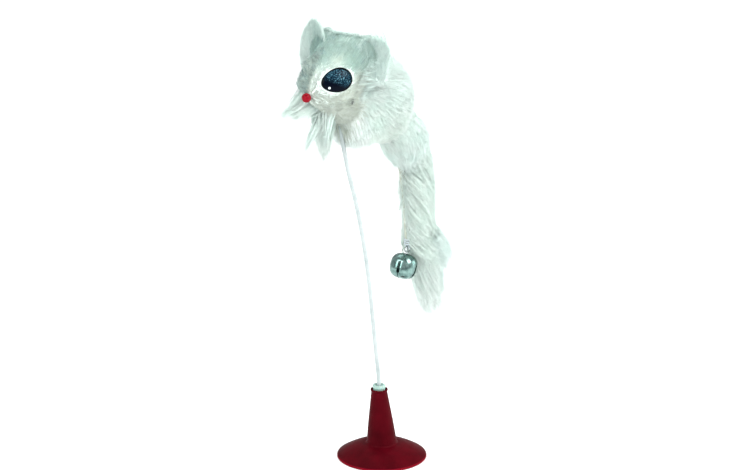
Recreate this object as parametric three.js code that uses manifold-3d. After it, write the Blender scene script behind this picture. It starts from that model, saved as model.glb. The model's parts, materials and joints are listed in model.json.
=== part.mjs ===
// A fur toy mouse for cats, on a springy stem that stands in a rubber suction cup.
// Millimetres, +Z up. The mouse faces -X and its left side is -Y.
// The origin is on the resting plane, under the middle of the whole toy.

import * as THREE from 'three';
import { mergeVertices } from 'three/addons/utils/BufferGeometryUtils.js';
import Module from 'manifold-3d';

const wasm = await Module();
wasm.setup();

// ---------------------------------------------------------------- driving dimensions

const GAP = 0.3; // air kept between pieces that touch on the real toy
const CUP_X = 6.7; // cup axis, measured from the middle of the whole toy

const CUP = {
  sides: 36,
  rimRadius: 21,
  rimThickness: 0.9,
  sealWidth: 1.6, // flat ring that meets the table
  hollowHeight: 3.2, // rise of the underside above the table
  sweepRadius: 13, // the flange's hollow sweep bends here
  sweepHeight: 5.0,
  flangeTop: 6.4, // where the flange meets the cone
  filletSize: 0.6,
  coneFootRadius: 7.1,
  coneTopRadius: 3.75,
  coneTop: 34,
  lipRadius: 4.1,
  lipHeight: 1.4,
  lipRounding: 0.5,
  mouthTaper: 0.1,
  mouthDepth: 0.8,
  socketRadius: 3.1,
  socketDepth: 16,
  lean: 0.075, // sideways creep per millimetre of height, under the mouse's weight
};

const PLUG = {
  sides: 20,
  flangeRadius: 3.05,
  flangeHeight: 1.7,
  shankRadius: 2.8,
  shankLength: 14,
  boreRadius: 1.3,
  rounding: 0.5,
  leadIn: 1, // height of the taper at the shank's foot
};

const STEM_RADIUS = 1.0;
const STEM_SIDES = 8;
const STEM_STEPS = 3; // bends in each length
const STEM_FOOT_RISE = 3.5; // the stem's foot stands this far above the cup socket's floor
const STEM_JOINT_HEIGHTS = [41, 58.5, 76, 93.5, 111, 128.5, 146];
const STEM_HEAD = 188; // the stem ends here, inside the mouse's head
const BORE_STEPS = 6;
const THROAT_RISE = 10; // last stem hinge to the foot of the bore in the core
const BOSS = { radius: 3.2, cap: 1.5 };

const BODY = { centre: [-8, 0, 174], half: [22, 20, 23.3], chestRise: 4, backShare: 0.2,
  sides: 22 };
const RUMP = { centre: [8, 0, 157.5], half: [12.5, 11.5, 12], sides: 14 };
const HEAD = { centre: [-34, 0, 189.5], half: [17.2, 13.8, 14.5], sides: 22,
  snoutTaper: 0.44, snoutDroop: 5.5, droopPower: 1.5 };
const CROWN = { centre: [-24, 0, 197], half: [7, 13, 9.5], sides: 14 };

const PELT_THICKNESS = 5.5;
const MASK_THICKNESS = 2.4;
const CORE_WALL = 1.3;
const MASK_EDGE_X = -28; // the short-haired mask ends here and the long fur begins

const EYE = { centre: [-42, 9.2, 190.5], half: [7.4, 4.7, 2.1], sides: 16,
  outward: [-0.5, 0.82, 0.26], backward: [0.87, 0.34, 0.3], eggShape: 0.14,
  pegRadius: 1.1, pegLength: 5, pegSides: 12 };
const NOSE = { centre: [-51.6, 0, 183], radius: 2.1, sides: 14, pegRadius: 0.7, pegLength: 3,
  pegSides: 10, pegRun: 0.95, pegRise: 0.3 };
const SOCKET_SPARE = 1; // depth of a peg's socket beyond the peg
const EAR = { base: [-26.5, 14, 195.5], width: 15, height: 16, thickness: 2.2, splay: 0.3,
  cupping: 2.2, sweep: 1.5, rootShare: 0.8, clearance: 1, sides: 14 };

const TAIL_JOINT_HEIGHTS = [147, 130, 108, 86];
const TAIL_TIP_HEIGHT = 64;
const TAIL_RADII = [[8, 8.4], [8, 8], [8, 8.8], [9, 4.5]]; // at the top and foot of each length
const TAIL_SIDES = 14;
const TAIL_STEPS = 6;
const TAIL_FULLNESS = 0.55; // below 1, the slices of each length swell towards a cylinder
const STRIP = { width: 3.2, thickness: 1.1, holeRadius: 0.8, holeSides: 12, cut: 1.3, top: 146,
  steps: 5 };

const BELL = {
  pivot: [18.6, 0, 97],
  tilt: 0.41, // radians, away from the tail that it leans on
  radius: 6.4,
  halfHeight: 6.0,
  squareness: 0.88,
  sides: 20,
  rings: 10,
  wall: 0.5,
  slotWidth: 1.2,
  slotLow: -3.2,
  slotHigh: 2.2,
  seamWidth: 0.3,
  slotTurn: 26, // degrees from the mouse's fore-and-aft line
  hang: 8.1, // pivot to bell centre
  loopRadius: 1.35,
  loopWire: 0.4,
  wireSides: 6,
  loopSteps: 14,
  shankSides: 10,
  shankOverlap: 0.2,
  spreadRadius: 1.1,
  spreadThickness: 0.5,
  spreadSides: 14,
  tieRadius: 2.0,
  tieWire: 0.28,
  tieSteps: 16,
  clapperRadius: 1.6,
  clapperSides: 12,
  clapperDrop: 3.5, // bell centre to clapper centre
};

// ---------------------------------------------------------------- materials

function material(color, roughness, metalness = 0) {
  return new THREE.MeshStandardMaterial({ color, roughness, metalness });
}

const FINISH = {
  redRubber: () => material(0x5e0a16, 0.45),
  mintPlastic: () => material(0xd5efe6, 0.4),
  whiteCoating: () => material(0xe9f1ee, 0.45),
  corePlastic: () => material(0xe6e3d8, 0.5),
  longFur: () => material(0xe4f0ec, 0.95),
  shortFur: () => material(0xeceae2, 0.95),
  leatherStrip: () => material(0xcfd2bd, 0.8),
  darkEye: () => material(0x0c1830, 0.12),
  redBead: () => material(0xb8141c, 0.3),
  nickel: () => material(0xb9c4c4, 0.15, 1),
  steel: () => material(0xa8acae, 0.25, 1),
  clearThread: () => material(0xdfe8ea, 0.3),
};

// ---------------------------------------------------------------- solids and booleans

const MERGE_DISTANCE = 1e-4;
const HALVINGS = 40; // of a curve, when it is searched for a height

function bare(geometry) {
  const copy = geometry.index ? geometry.toNonIndexed() : geometry.clone();
  copy.deleteAttribute('normal');
  copy.deleteAttribute('uv');
  return mergeVertices(copy, MERGE_DISTANCE);
}

function toSolid(geometry) {
  const merged = bare(geometry);
  return new wasm.Manifold(new wasm.Mesh({
    numProp: 3,
    vertProperties: new Float32Array(merged.attributes.position.array),
    triVerts: new Uint32Array(merged.index.array),
  }));
}

function toGeometry(solid) {
  const mesh = solid.getMesh();
  const geometry = new THREE.BufferGeometry();
  geometry.setAttribute('position', new THREE.BufferAttribute(mesh.vertProperties, mesh.numProp));
  geometry.setIndex(new THREE.BufferAttribute(mesh.triVerts, 1));
  geometry.computeVertexNormals();
  return geometry;
}

function box(low, high) {
  const size = high.map((value, axis) => value - low[axis]);
  const geometry = new THREE.BoxGeometry(...size);
  geometry.translate(...low.map((value, axis) => value + size[axis] / 2));
  return toSolid(geometry);
}

// A rod with flat ends between two points.
function rod(start, end, radius, sides = 16) {
  const from = new THREE.Vector3(...start);
  const along = new THREE.Vector3(...end).sub(from);
  const geometry = new THREE.CylinderGeometry(radius, radius, along.length(), sides);
  geometry.translate(0, along.length() / 2, 0);
  const turn = new THREE.Quaternion();
  turn.setFromUnitVectors(new THREE.Vector3(0, 1, 0), along.clone().normalize());
  geometry.applyQuaternion(turn);
  geometry.translate(...start);
  return geometry;
}

const toy = new THREE.Group();

function addPiece(name, geometry, finish) {
  const mesh = new THREE.Mesh(geometry, finish());
  mesh.name = name;
  mesh.position.x = CUP_X;
  toy.add(mesh);
}

// ---------------------------------------------------------------- centre lines

// The stem stands almost upright in the cup and bows forward to the mouse's throat.
const stemLine = new THREE.CatmullRomCurve3([
  new THREE.Vector3(-1.2, 0, 21),
  new THREE.Vector3(-2.0, 0, 36),
  new THREE.Vector3(-6.0, 0, 64),
  new THREE.Vector3(-10.0, 0, 92),
  new THREE.Vector3(-16.5, 0, 121),
  new THREE.Vector3(-25.2, 0, 149),
  new THREE.Vector3(-29.6, 0, 170),
  new THREE.Vector3(-30.6, 0, 191),
]);

// The tail leaves the rump, hangs down, and swings back at its tip.
const tailLine = new THREE.CatmullRomCurve3([
  new THREE.Vector3(12, 0, 162),
  new THREE.Vector3(20.5, 0, 148),
  new THREE.Vector3(25.2, 0, 134),
  new THREE.Vector3(27, 0, 116),
  new THREE.Vector3(28, 0, 99),
  new THREE.Vector3(32, 0, 84),
  new THREE.Vector3(37.5, 0, 58),
]);

// The leather edge of the tail runs down its front side, to the hole that carries the bell.
const stripLine = new THREE.CatmullRomCurve3([
  new THREE.Vector3(13.6, 2.2, 147),
  new THREE.Vector3(15.6, 2.2, 139),
  new THREE.Vector3(18.0, 1.6, 125),
  new THREE.Vector3(18.8, 0.8, 112),
  new THREE.Vector3(BELL.pivot[0], 0, BELL.pivot[2] + 2 * BELL.tieRadius - STRIP.width / 2),
]);

// The curve parameter at which a line reaches a height.
function parameterAtHeight(curve, height) {
  let low = 0;
  let high = 1;
  const rises = curve.getPoint(1).z > curve.getPoint(0).z;
  for (let step = 0; step < HALVINGS; step += 1) {
    const middle = (low + high) / 2;
    const below = curve.getPoint(middle).z < height;
    if (below === rises) {
      low = middle;
    } else {
      high = middle;
    }
  }
  return (low + high) / 2;
}

// The stretch of a line between two parameters, as a curve of its own.
function stretch(curve, from, to, points) {
  const list = [];
  for (let step = 0; step <= points; step += 1) {
    list.push(curve.getPoint(from + ((to - from) * step) / points));
  }
  return new THREE.CatmullRomCurve3(list);
}

// ---------------------------------------------------------------- suction cup and plug

// Everything the cup holds leans with it: points above the flange creep towards the mouse.
function leanWithCup(geometry) {
  const position = geometry.attributes.position;
  for (let index = 0; index < position.count; index += 1) {
    const above = Math.max(0, position.getZ(index) - CUP.flangeTop);
    position.setX(index, position.getX(index) - CUP.lean * above);
  }
  return geometry;
}

function cupProfile() {
  const points = [];
  const sealInner = CUP.rimRadius - CUP.sealWidth;
  const steps = 4;
  // Underside: a shallow dome from the middle out to the seal.
  for (let step = 0; step <= steps; step += 1) {
    const radius = (sealInner * step) / steps;
    const height = CUP.hollowHeight * (1 - (radius / sealInner) ** 2);
    points.push(new THREE.Vector2(radius, height));
  }
  points.push(new THREE.Vector2(CUP.rimRadius, 0));
  points.push(new THREE.Vector2(CUP.rimRadius, CUP.rimThickness));
  // Flange: rises in a slightly hollow sweep to the foot of the cone.
  const flange = new THREE.QuadraticBezierCurve(
    new THREE.Vector2(CUP.rimRadius, CUP.rimThickness),
    new THREE.Vector2(CUP.sweepRadius, CUP.sweepHeight),
    new THREE.Vector2(CUP.coneFootRadius + CUP.filletSize, CUP.flangeTop),
  );
  points.push(...flange.getPoints(steps).slice(1));
  points.push(new THREE.Vector2(CUP.coneFootRadius, CUP.flangeTop + CUP.filletSize));
  points.push(new THREE.Vector2(CUP.coneTopRadius, CUP.coneTop - CUP.lipHeight));
  points.push(new THREE.Vector2(CUP.lipRadius, CUP.coneTop - CUP.lipRounding));
  points.push(new THREE.Vector2(CUP.lipRadius - CUP.mouthTaper, CUP.coneTop));
  points.push(new THREE.Vector2(CUP.socketRadius + GAP, CUP.coneTop));
  points.push(new THREE.Vector2(CUP.socketRadius + CUP.mouthTaper, CUP.coneTop - CUP.mouthDepth));
  points.push(new THREE.Vector2(CUP.socketRadius, CUP.coneTop - CUP.socketDepth));
  points.push(new THREE.Vector2(0, CUP.coneTop - CUP.socketDepth));
  return points;
}

function turned(profile, sides) {
  const geometry = new THREE.LatheGeometry(profile, sides);
  geometry.rotateX(Math.PI / 2);
  return geometry;
}

addPiece('suction_cup', leanWithCup(bare(turned(cupProfile(), CUP.sides))), FINISH.redRubber);

function plugProfile() {
  const seat = CUP.coneTop + GAP;
  const top = seat + PLUG.flangeHeight;
  const foot = seat - PLUG.shankLength;
  return [
    [PLUG.boreRadius, foot],
    [PLUG.shankRadius - PLUG.rounding, foot],
    [PLUG.shankRadius, foot + PLUG.leadIn],
    [PLUG.shankRadius, seat],
    [PLUG.flangeRadius, seat],
    [PLUG.flangeRadius, top - PLUG.rounding],
    [PLUG.flangeRadius - PLUG.rounding, top],
    [PLUG.boreRadius, top],
    [PLUG.boreRadius, foot],
  ].map(([radius, height]) => new THREE.Vector2(radius, height));
}

addPiece('stem_plug', leanWithCup(bare(turned(plugProfile(), PLUG.sides))), FINISH.mintPlastic);

// ---------------------------------------------------------------- stem

function circleShape(radius, sides) {
  const shape = new THREE.Shape();
  for (let side = 0; side < sides; side += 1) {
    const angle = (2 * Math.PI * side) / sides;
    const point = [radius * Math.cos(angle), radius * Math.sin(angle)];
    if (side === 0) {
      shape.moveTo(...point);
    } else {
      shape.lineTo(...point);
    }
  }
  shape.closePath();
  return shape;
}

function tube(curve, radius, sides, steps) {
  return new THREE.ExtrudeGeometry(circleShape(radius, sides), {
    steps,
    extrudePath: curve,
    bevelEnabled: false,
  });
}

// The stem is one coated spring wire. It is cut into short stiff lengths, joined by hinges,
// with a thin gap at each hinge.
const STEM_FOOT = CUP.coneTop - CUP.socketDepth + STEM_FOOT_RISE;
const stemEnds = [STEM_FOOT, ...STEM_JOINT_HEIGHTS, STEM_HEAD];
for (let piece = 0; piece < stemEnds.length - 1; piece += 1) {
  const low = stemEnds[piece] + (piece > 0 ? GAP / 2 : 0);
  const high = stemEnds[piece + 1] - (piece < stemEnds.length - 2 ? GAP / 2 : 0);
  const length = stretch(stemLine, parameterAtHeight(stemLine, low),
    parameterAtHeight(stemLine, high), STEM_STEPS);
  addPiece(`stem_${piece + 1}`, tube(length, STEM_RADIUS, STEM_SIDES, STEM_STEPS),
    FINISH.whiteCoating);
}

// ---------------------------------------------------------------- mouse: body and head forms

// A unit sphere with its poles on X becomes an egg: the shape function moves each point.
function egg(segments, shapePoint) {
  const geometry = new THREE.SphereGeometry(1, segments, segments / 2);
  geometry.rotateZ(Math.PI / 2);
  const merged = bare(geometry);
  const position = merged.attributes.position;
  for (let index = 0; index < position.count; index += 1) {
    const unit = [position.getX(index), position.getY(index), position.getZ(index)];
    position.setXYZ(index, ...shapePoint(unit));
  }
  return toSolid(merged);
}

// The rear of the mouse: a deep ovoid whose chest is tucked up, with a low round rump.
function bodyForm(inset) {
  const [halfX, halfY, halfZ] = BODY.half.map((value) => value - inset);
  const trunk = egg(BODY.sides, ([x, y, z]) => [
    BODY.centre[0] + halfX * x,
    halfY * y,
    BODY.centre[2] + halfZ * z + BODY.chestRise * Math.max(0, -x) * (z < 0 ? 1 : BODY.backShare),
  ]);
  const [rumpX, rumpY, rumpZ] = RUMP.half.map((value) => value - inset);
  const rump = egg(RUMP.sides, ([x, y, z]) => [
    RUMP.centre[0] + rumpX * x,
    rumpY * y,
    RUMP.centre[2] + rumpZ * z,
  ]);
  return trunk.add(rump);
}

// The head: a cone with a rounded snout that droops towards the nose.
function headForm(inset) {
  const [halfX, halfY, halfZ] = HEAD.half.map((value) => value - inset);
  return egg(HEAD.sides, ([x, y, z]) => {
    const forward = Math.max(0, -x);
    const taper = 1 - HEAD.snoutTaper * forward;
    const droop = HEAD.snoutDroop * forward ** HEAD.droopPower;
    return [
      HEAD.centre[0] + halfX * x,
      halfY * y * taper,
      HEAD.centre[2] + halfZ * z * taper - droop,
    ];
  });
}

// Upright fur between the ears. It has no core of its own.
function crownForm(inset) {
  const [halfX, halfY, halfZ] = CROWN.half.map((value) => value - inset);
  return egg(CROWN.sides, ([x, y, z]) => [
    CROWN.centre[0] + halfX * x,
    halfY * y,
    CROWN.centre[2] + halfZ * z,
  ]);
}

const FAR = 200;
const leftHalf = box([-FAR, -FAR, 0], [FAR, -GAP / 2, 2 * FAR]);
const rightHalf = box([-FAR, GAP / 2, 0], [FAR, FAR, 2 * FAR]);

const coreOuter = bodyForm(PELT_THICKNESS).add(headForm(MASK_THICKNESS));
const coreInner = bodyForm(PELT_THICKNESS + CORE_WALL).add(headForm(MASK_THICKNESS + CORE_WALL));
const coreRoom = bodyForm(PELT_THICKNESS - GAP).add(headForm(MASK_THICKNESS - GAP));

// The stem goes up through the throat into a moulded boss inside the head.
const throat = parameterAtHeight(stemLine, STEM_JOINT_HEIGHTS.at(-1) + THROAT_RISE);
const boreTop = parameterAtHeight(stemLine, STEM_HEAD + GAP);
const stemBore = toSolid(tube(stretch(stemLine, throat, boreTop, BORE_STEPS),
  STEM_RADIUS + GAP, STEM_SIDES, BORE_STEPS));
const stemTop = stemLine.getPoint(parameterAtHeight(stemLine, STEM_HEAD));
const bossFoot = stemLine.getPoint(throat);
const bossTop = [stemTop.x, 0, stemTop.z + BOSS.cap];
const stemBoss = toSolid(rod(bossFoot.toArray(), bossTop, BOSS.radius))
  .intersect(coreOuter);

// Sockets for the pegs of the eyes and the nose.
function eyeCentre(side) {
  return new THREE.Vector3(EYE.centre[0], side * EYE.centre[1], EYE.centre[2]);
}

function eyeOutward(side) {
  const [x, y, z] = EYE.outward;
  return new THREE.Vector3(x, side * y, z).normalize();
}

function eyePeg(side, radius, extra) {
  const outer = eyeCentre(side);
  const inner = outer.clone().addScaledVector(eyeOutward(side), -(EYE.pegLength + extra));
  return toSolid(rod(outer.toArray(), inner.toArray(), radius, EYE.pegSides));
}

function nosePeg(radius, extra) {
  const [x, , z] = NOSE.centre;
  const length = NOSE.radius + NOSE.pegLength + extra;
  const inner = [x + NOSE.pegRun * length, 0, z + NOSE.pegRise * length];
  return toSolid(rod([x, 0, z], inner, radius, NOSE.pegSides));
}

const pegSockets = eyePeg(-1, EYE.pegRadius + GAP, SOCKET_SPARE)
  .add(eyePeg(1, EYE.pegRadius + GAP, SOCKET_SPARE))
  .add(nosePeg(NOSE.pegRadius + GAP, SOCKET_SPARE));

// A flattened dome, egg-shaped in outline, with its sharper end towards the nose.
function eyeSolid(side, grow) {
  const outward = eyeOutward(side);
  const [backX, backY, backZ] = EYE.backward;
  const backward = new THREE.Vector3(backX, side * backY, backZ);
  backward.addScaledVector(outward, -backward.dot(outward)).normalize();
  const upward = new THREE.Vector3().crossVectors(backward, outward).multiplyScalar(side);
  const centre = eyeCentre(side);
  const [halfLong, halfTall, halfThick] = EYE.half.map((value) => value + grow);
  return egg(EYE.sides, ([x, y, z]) => {
    const tall = halfTall * (1 + EYE.eggShape * x);
    const point = centre.clone();
    point.addScaledVector(backward, halfLong * x);
    point.addScaledVector(outward, halfThick * y * side);
    point.addScaledVector(upward, tall * z);
    return point.toArray();
  });
}

function noseSolid(grow) {
  const geometry = new THREE.SphereGeometry(NOSE.radius + grow, NOSE.sides, NOSE.sides / 2);
  geometry.translate(...NOSE.centre);
  return toSolid(geometry);
}

const fittings = eyeSolid(-1, GAP).add(eyeSolid(1, GAP)).add(noseSolid(GAP)).add(pegSockets);

const core = coreOuter.subtract(coreInner).add(stemBoss).subtract(stemBore).subtract(fittings);
addPiece('core_left', toGeometry(core.intersect(leftHalf)), FINISH.corePlastic);
addPiece('core_right', toGeometry(core.intersect(rightHalf)), FINISH.corePlastic);

// ---------------------------------------------------------------- eyes and nose

for (const [name, side] of [['eye_left', -1], ['eye_right', 1]]) {
  const piece = eyeSolid(side, 0).add(eyePeg(side, EYE.pegRadius, 0));
  addPiece(name, toGeometry(piece), FINISH.darkEye);
}
addPiece('nose_bead', toGeometry(noseSolid(0).add(nosePeg(NOSE.pegRadius, 0))), FINISH.redBead);

// ---------------------------------------------------------------- face mask and body pelt

const inFront = box([-FAR, -FAR, 0], [MASK_EDGE_X - GAP / 2, FAR, 2 * FAR]);
const inFrontRoom = box([-FAR, -FAR, 0], [MASK_EDGE_X + GAP / 2, FAR, 2 * FAR]);

const faceMask = headForm(0).intersect(inFront).subtract(coreRoom).subtract(fittings)
  .subtract(stemBore);
addPiece('face_mask', toGeometry(faceMask), FINISH.shortFur);

const maskRoom = headForm(-GAP).intersect(inFrontRoom);
const bodyPelt = bodyForm(0).add(headForm(0)).add(crownForm(0)).subtract(maskRoom).subtract(coreRoom)
  .subtract(fittings).subtract(stemBore);
addPiece('body_pelt', toGeometry(bodyPelt), FINISH.longFur);

// ---------------------------------------------------------------- ears

// A soft flap, cupped forwards, that stands on a slightly narrower root.
function earSolid(side) {
  const [baseX, baseY, baseZ] = EAR.base;
  return egg(EAR.sides, ([x, y, z]) => {
    const up = (z + 1) / 2;
    const breadth = (EAR.width / 2) * (EAR.rootShare + (1 - EAR.rootShare) * up);
    return [
      baseX + (EAR.thickness / 2) * x - EAR.cupping * y * y + EAR.sweep * up,
      side * baseY + breadth * y + side * EAR.splay * EAR.height * up,
      baseZ + EAR.height * up,
    ];
  });
}

const earRoom = bodyForm(-EAR.clearance).add(headForm(-EAR.clearance))
  .add(crownForm(-EAR.clearance));
for (const [name, side] of [['ear_left', -1], ['ear_right', 1]]) {
  addPiece(name, toGeometry(earSolid(side).subtract(earRoom)), FINISH.longFur);
}

// ---------------------------------------------------------------- tail

// One soft length of the tail: a sausage with domed ends, bent along the centre line.
function furSausage(curve, [topRadius, footRadius]) {
  return egg(TAIL_SIDES, ([x, y, z]) => {
    const at = (x + 1) / 2;
    const radius = topRadius + (footRadius - topRadius) * at;
    const middle = curve.getPointAt(at);
    const along = curve.getTangentAt(at);
    const outward = new THREE.Vector3(-along.z, 0, along.x);
    // A unit sphere's slices are too pointed for a sausage, so they are swelled.
    const slice = Math.hypot(y, z);
    const swell = slice > 0 ? (radius * slice ** TAIL_FULLNESS) / slice : 0;
    middle.addScaledVector(outward, swell * z);
    middle.y += swell * y;
    return middle.toArray();
  });
}

// A length of the leather edge between two heights, thickened by grow all round.
function stripLength(high, low, grow) {
  const halfWidth = STRIP.width / 2 + grow;
  const halfThick = STRIP.thickness / 2 + grow;
  const shape = new THREE.Shape();
  shape.moveTo(-halfWidth, -halfThick);
  shape.lineTo(halfWidth, -halfThick);
  shape.lineTo(halfWidth, halfThick);
  shape.lineTo(-halfWidth, halfThick);
  shape.closePath();
  const path = stretch(stripLine, parameterAtHeight(stripLine, high),
    parameterAtHeight(stripLine, low), STRIP.steps);
  return toSolid(new THREE.ExtrudeGeometry(shape, { steps: STRIP.steps, extrudePath: path,
    bevelEnabled: false }));
}

const bellPivot = new THREE.Vector3(...BELL.pivot);
const holeHeight = bellPivot.z + 2 * BELL.tieRadius;
const stripFoot = holeHeight - STRIP.width / 2;
const holeCutter = toSolid(rod(
  [bellPivot.x, -STRIP.width, holeHeight],
  [bellPivot.x, STRIP.width, holeHeight],
  STRIP.holeRadius,
  STRIP.holeSides,
));

TAIL_JOINT_HEIGHTS.forEach((top, piece) => {
  const bottom = TAIL_JOINT_HEIGHTS[piece + 1] ?? TAIL_TIP_HEIGHT;
  const length = stretch(tailLine, parameterAtHeight(tailLine, top - GAP),
    parameterAtHeight(tailLine, bottom + GAP), TAIL_STEPS);
  const stripRoom = stripLength(STRIP.top, stripFoot, GAP);
  const fur = furSausage(length, TAIL_RADII[piece]).subtract(stripRoom);
  addPiece(`tail_fur_${piece + 1}`, toGeometry(fur), FINISH.longFur);
});

const stripEnds = [STRIP.top, ...TAIL_JOINT_HEIGHTS.slice(1, 3), stripFoot];
for (let piece = 0; piece < stripEnds.length - 1; piece += 1) {
  const isLast = piece === stripEnds.length - 2;
  const high = stripEnds[piece] - (piece > 0 ? STRIP.cut : 0);
  const low = stripEnds[piece + 1] + (isLast ? 0 : STRIP.cut);
  const strip = stripLength(high, low, 0).subtract(holeCutter);
  addPiece(`tail_strip_${piece + 1}`, toGeometry(strip), FINISH.leatherStrip);
}

// ---------------------------------------------------------------- bell

// The thread loop stands across the leather edge, through its hole.
const tie = new THREE.TorusGeometry(BELL.tieRadius, BELL.tieWire, BELL.wireSides, BELL.tieSteps);
tie.rotateY(Math.PI / 2);
tie.translate(bellPivot.x, bellPivot.y, bellPivot.z + BELL.tieRadius);
addPiece('bell_tie', tie, FINISH.clearThread);

// The bell's own frame has its origin in the middle of the bell and +Z towards the pivot.
const bellPlacement = new THREE.Matrix4().makeRotationY(BELL.tilt);
const bellCentre = new THREE.Vector3(0, 0, -BELL.hang).applyMatrix4(bellPlacement).add(bellPivot);
bellPlacement.setPosition(bellCentre);

function placedInBell(solid) {
  const geometry = toGeometry(solid);
  geometry.applyMatrix4(bellPlacement);
  return geometry;
}

// A ball slightly squared in section, as two pressed bowls make.
function bellBall(inset) {
  const profile = [];
  const steps = BELL.rings;
  for (let step = 0; step <= steps; step += 1) {
    const angle = -Math.PI / 2 + (Math.PI * step) / steps;
    const across = Math.max(0, Math.cos(angle)) ** BELL.squareness;
    const up = Math.sign(Math.sin(angle)) * Math.abs(Math.sin(angle)) ** BELL.squareness;
    const radius = step === 0 || step === steps ? 0 : (BELL.radius - inset) * across;
    profile.push(new THREE.Vector2(radius, (BELL.halfHeight - inset) * up));
  }
  return toSolid(turned(profile, BELL.sides));
}

// Two crossed cuts leave four petals: wide slots at the waist, fine seams below them.
function petalCuts() {
  const half = BELL.slotWidth / 2;
  const seam = BELL.seamWidth / 2;
  const reach = BELL.radius + 1;
  const slot = box([-reach, -half, BELL.slotLow], [reach, half, BELL.slotHigh]);
  const fine = box([-reach, -seam, -reach], [reach, seam, BELL.slotLow + seam]);
  const cut = slot.add(fine);
  return cut.add(cut.rotate([0, 0, 90])).rotate([0, 0, BELL.slotTurn]);
}

const loopFoot = BELL.halfHeight - BELL.wall - GAP;
const loopHole = toSolid(rod([0, 0, 0], [0, 0, BELL.hang], BELL.loopWire + GAP,
  BELL.shankSides));
const shell = bellBall(0).subtract(bellBall(BELL.wall)).subtract(petalCuts()).subtract(loopHole);
addPiece('bell_shell', placedInBell(shell), FINISH.nickel);

// The loop's shank passes through the top of the bell and is spread out inside.
const eye = new THREE.TorusGeometry(BELL.loopRadius, BELL.loopWire, BELL.wireSides, BELL.loopSteps);
eye.rotateX(Math.PI / 2);
eye.translate(0, 0, BELL.hang);
const shankTop = BELL.hang - BELL.loopRadius;
const shankFoot = loopFoot - BELL.shankOverlap;
const shank = toSolid(rod([0, 0, shankFoot], [0, 0, shankTop], BELL.loopWire, BELL.shankSides));
const spreadFoot = loopFoot - BELL.spreadThickness;
const spread = toSolid(rod([0, 0, spreadFoot], [0, 0, loopFoot], BELL.spreadRadius,
  BELL.spreadSides));
addPiece('bell_loop', placedInBell(toSolid(eye).add(shank).add(spread)), FINISH.steel);

const clapper = new THREE.SphereGeometry(BELL.clapperRadius, BELL.clapperSides, BELL.clapperSides / 2);
clapper.translate(bellCentre.x, bellCentre.y, bellCentre.z - BELL.clapperDrop);
addPiece('bell_clapper', clapper, FINISH.steel);

export default toy;
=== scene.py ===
import json
import math

import bmesh
import bpy
import numpy as np
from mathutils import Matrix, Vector

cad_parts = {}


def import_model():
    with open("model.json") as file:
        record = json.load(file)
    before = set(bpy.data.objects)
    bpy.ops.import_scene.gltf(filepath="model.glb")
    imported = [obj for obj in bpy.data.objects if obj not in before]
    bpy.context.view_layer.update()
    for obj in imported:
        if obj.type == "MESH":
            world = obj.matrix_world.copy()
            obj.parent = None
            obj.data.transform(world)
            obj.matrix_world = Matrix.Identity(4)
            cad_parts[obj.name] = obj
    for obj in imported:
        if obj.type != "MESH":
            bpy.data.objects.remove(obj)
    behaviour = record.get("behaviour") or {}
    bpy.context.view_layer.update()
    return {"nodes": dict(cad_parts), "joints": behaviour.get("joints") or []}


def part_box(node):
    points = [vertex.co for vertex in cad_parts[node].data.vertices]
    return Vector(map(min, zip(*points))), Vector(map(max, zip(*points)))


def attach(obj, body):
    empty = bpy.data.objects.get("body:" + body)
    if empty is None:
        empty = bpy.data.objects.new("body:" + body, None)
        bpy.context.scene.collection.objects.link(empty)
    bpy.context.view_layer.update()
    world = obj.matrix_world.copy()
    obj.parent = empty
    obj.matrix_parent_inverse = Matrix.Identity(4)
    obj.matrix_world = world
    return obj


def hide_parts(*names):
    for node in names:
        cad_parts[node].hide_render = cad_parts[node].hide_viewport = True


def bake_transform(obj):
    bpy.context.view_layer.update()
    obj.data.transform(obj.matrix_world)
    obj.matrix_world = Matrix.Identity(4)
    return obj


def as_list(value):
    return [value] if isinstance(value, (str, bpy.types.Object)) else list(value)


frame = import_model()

# The fur mouse on its sprung stem. Lengths here are millimetres from the cup's axis, in the row
# frame's directions: the mouse faces -X and its left side is -Y. world() turns them into metres.

MM = 0.001
cup_low, cup_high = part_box("suction_cup")
CUP_X = (cup_low.x + cup_high.x) / 2


def world(points):
    """Millimetres from the cup's axis to metres in the row frame."""
    return np.asarray(points, float) * MM + np.array([CUP_X, 0.0, 0.0])


def local(point):
    """Metres in the row frame to millimetres from the cup's axis."""
    return (np.asarray(point, float) - np.array([CUP_X, 0.0, 0.0])) / MM


def joint_at(name):
    return local(next(j["pos_m"] for j in frame["joints"] if j["name"] == name))


def box_centre(node):
    low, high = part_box(node)
    return local((low + high) / 2)


def unit(vectors):
    vectors = np.asarray(vectors, float)
    return vectors / np.maximum(np.linalg.norm(vectors, axis=-1, keepdims=True), 1e-9)


# ---------------------------------------------------------------- camera

CAMERA_DISTANCE = 1155  # from the cup's axis, along the floor
CAMERA_AZIMUTH = math.radians(-50)
CAMERA_HEIGHT = 466.6
CAMERA_PITCH = math.radians(-17.235)
CAMERA_TURN = math.radians(0.392)  # to the left of the cup's axis
CAMERA_LENS = 130.15
SENSOR_WIDTH = 36


def make_camera():
    data = bpy.data.cameras.new("camera")
    data.lens = CAMERA_LENS
    data.sensor_width = SENSOR_WIDTH
    data.clip_end = 20
    camera = bpy.data.objects.new("camera", data)
    camera.location = world([
        math.sin(CAMERA_AZIMUTH) * CAMERA_DISTANCE,
        -math.cos(CAMERA_AZIMUTH) * CAMERA_DISTANCE,
        CAMERA_HEIGHT,
    ])
    camera.rotation_euler = (math.pi / 2 + CAMERA_PITCH, 0, CAMERA_AZIMUTH + CAMERA_TURN)
    bpy.context.scene.collection.objects.link(camera)
    bpy.context.scene.camera = camera


make_camera()


# ---------------------------------------------------------------- materials


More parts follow.
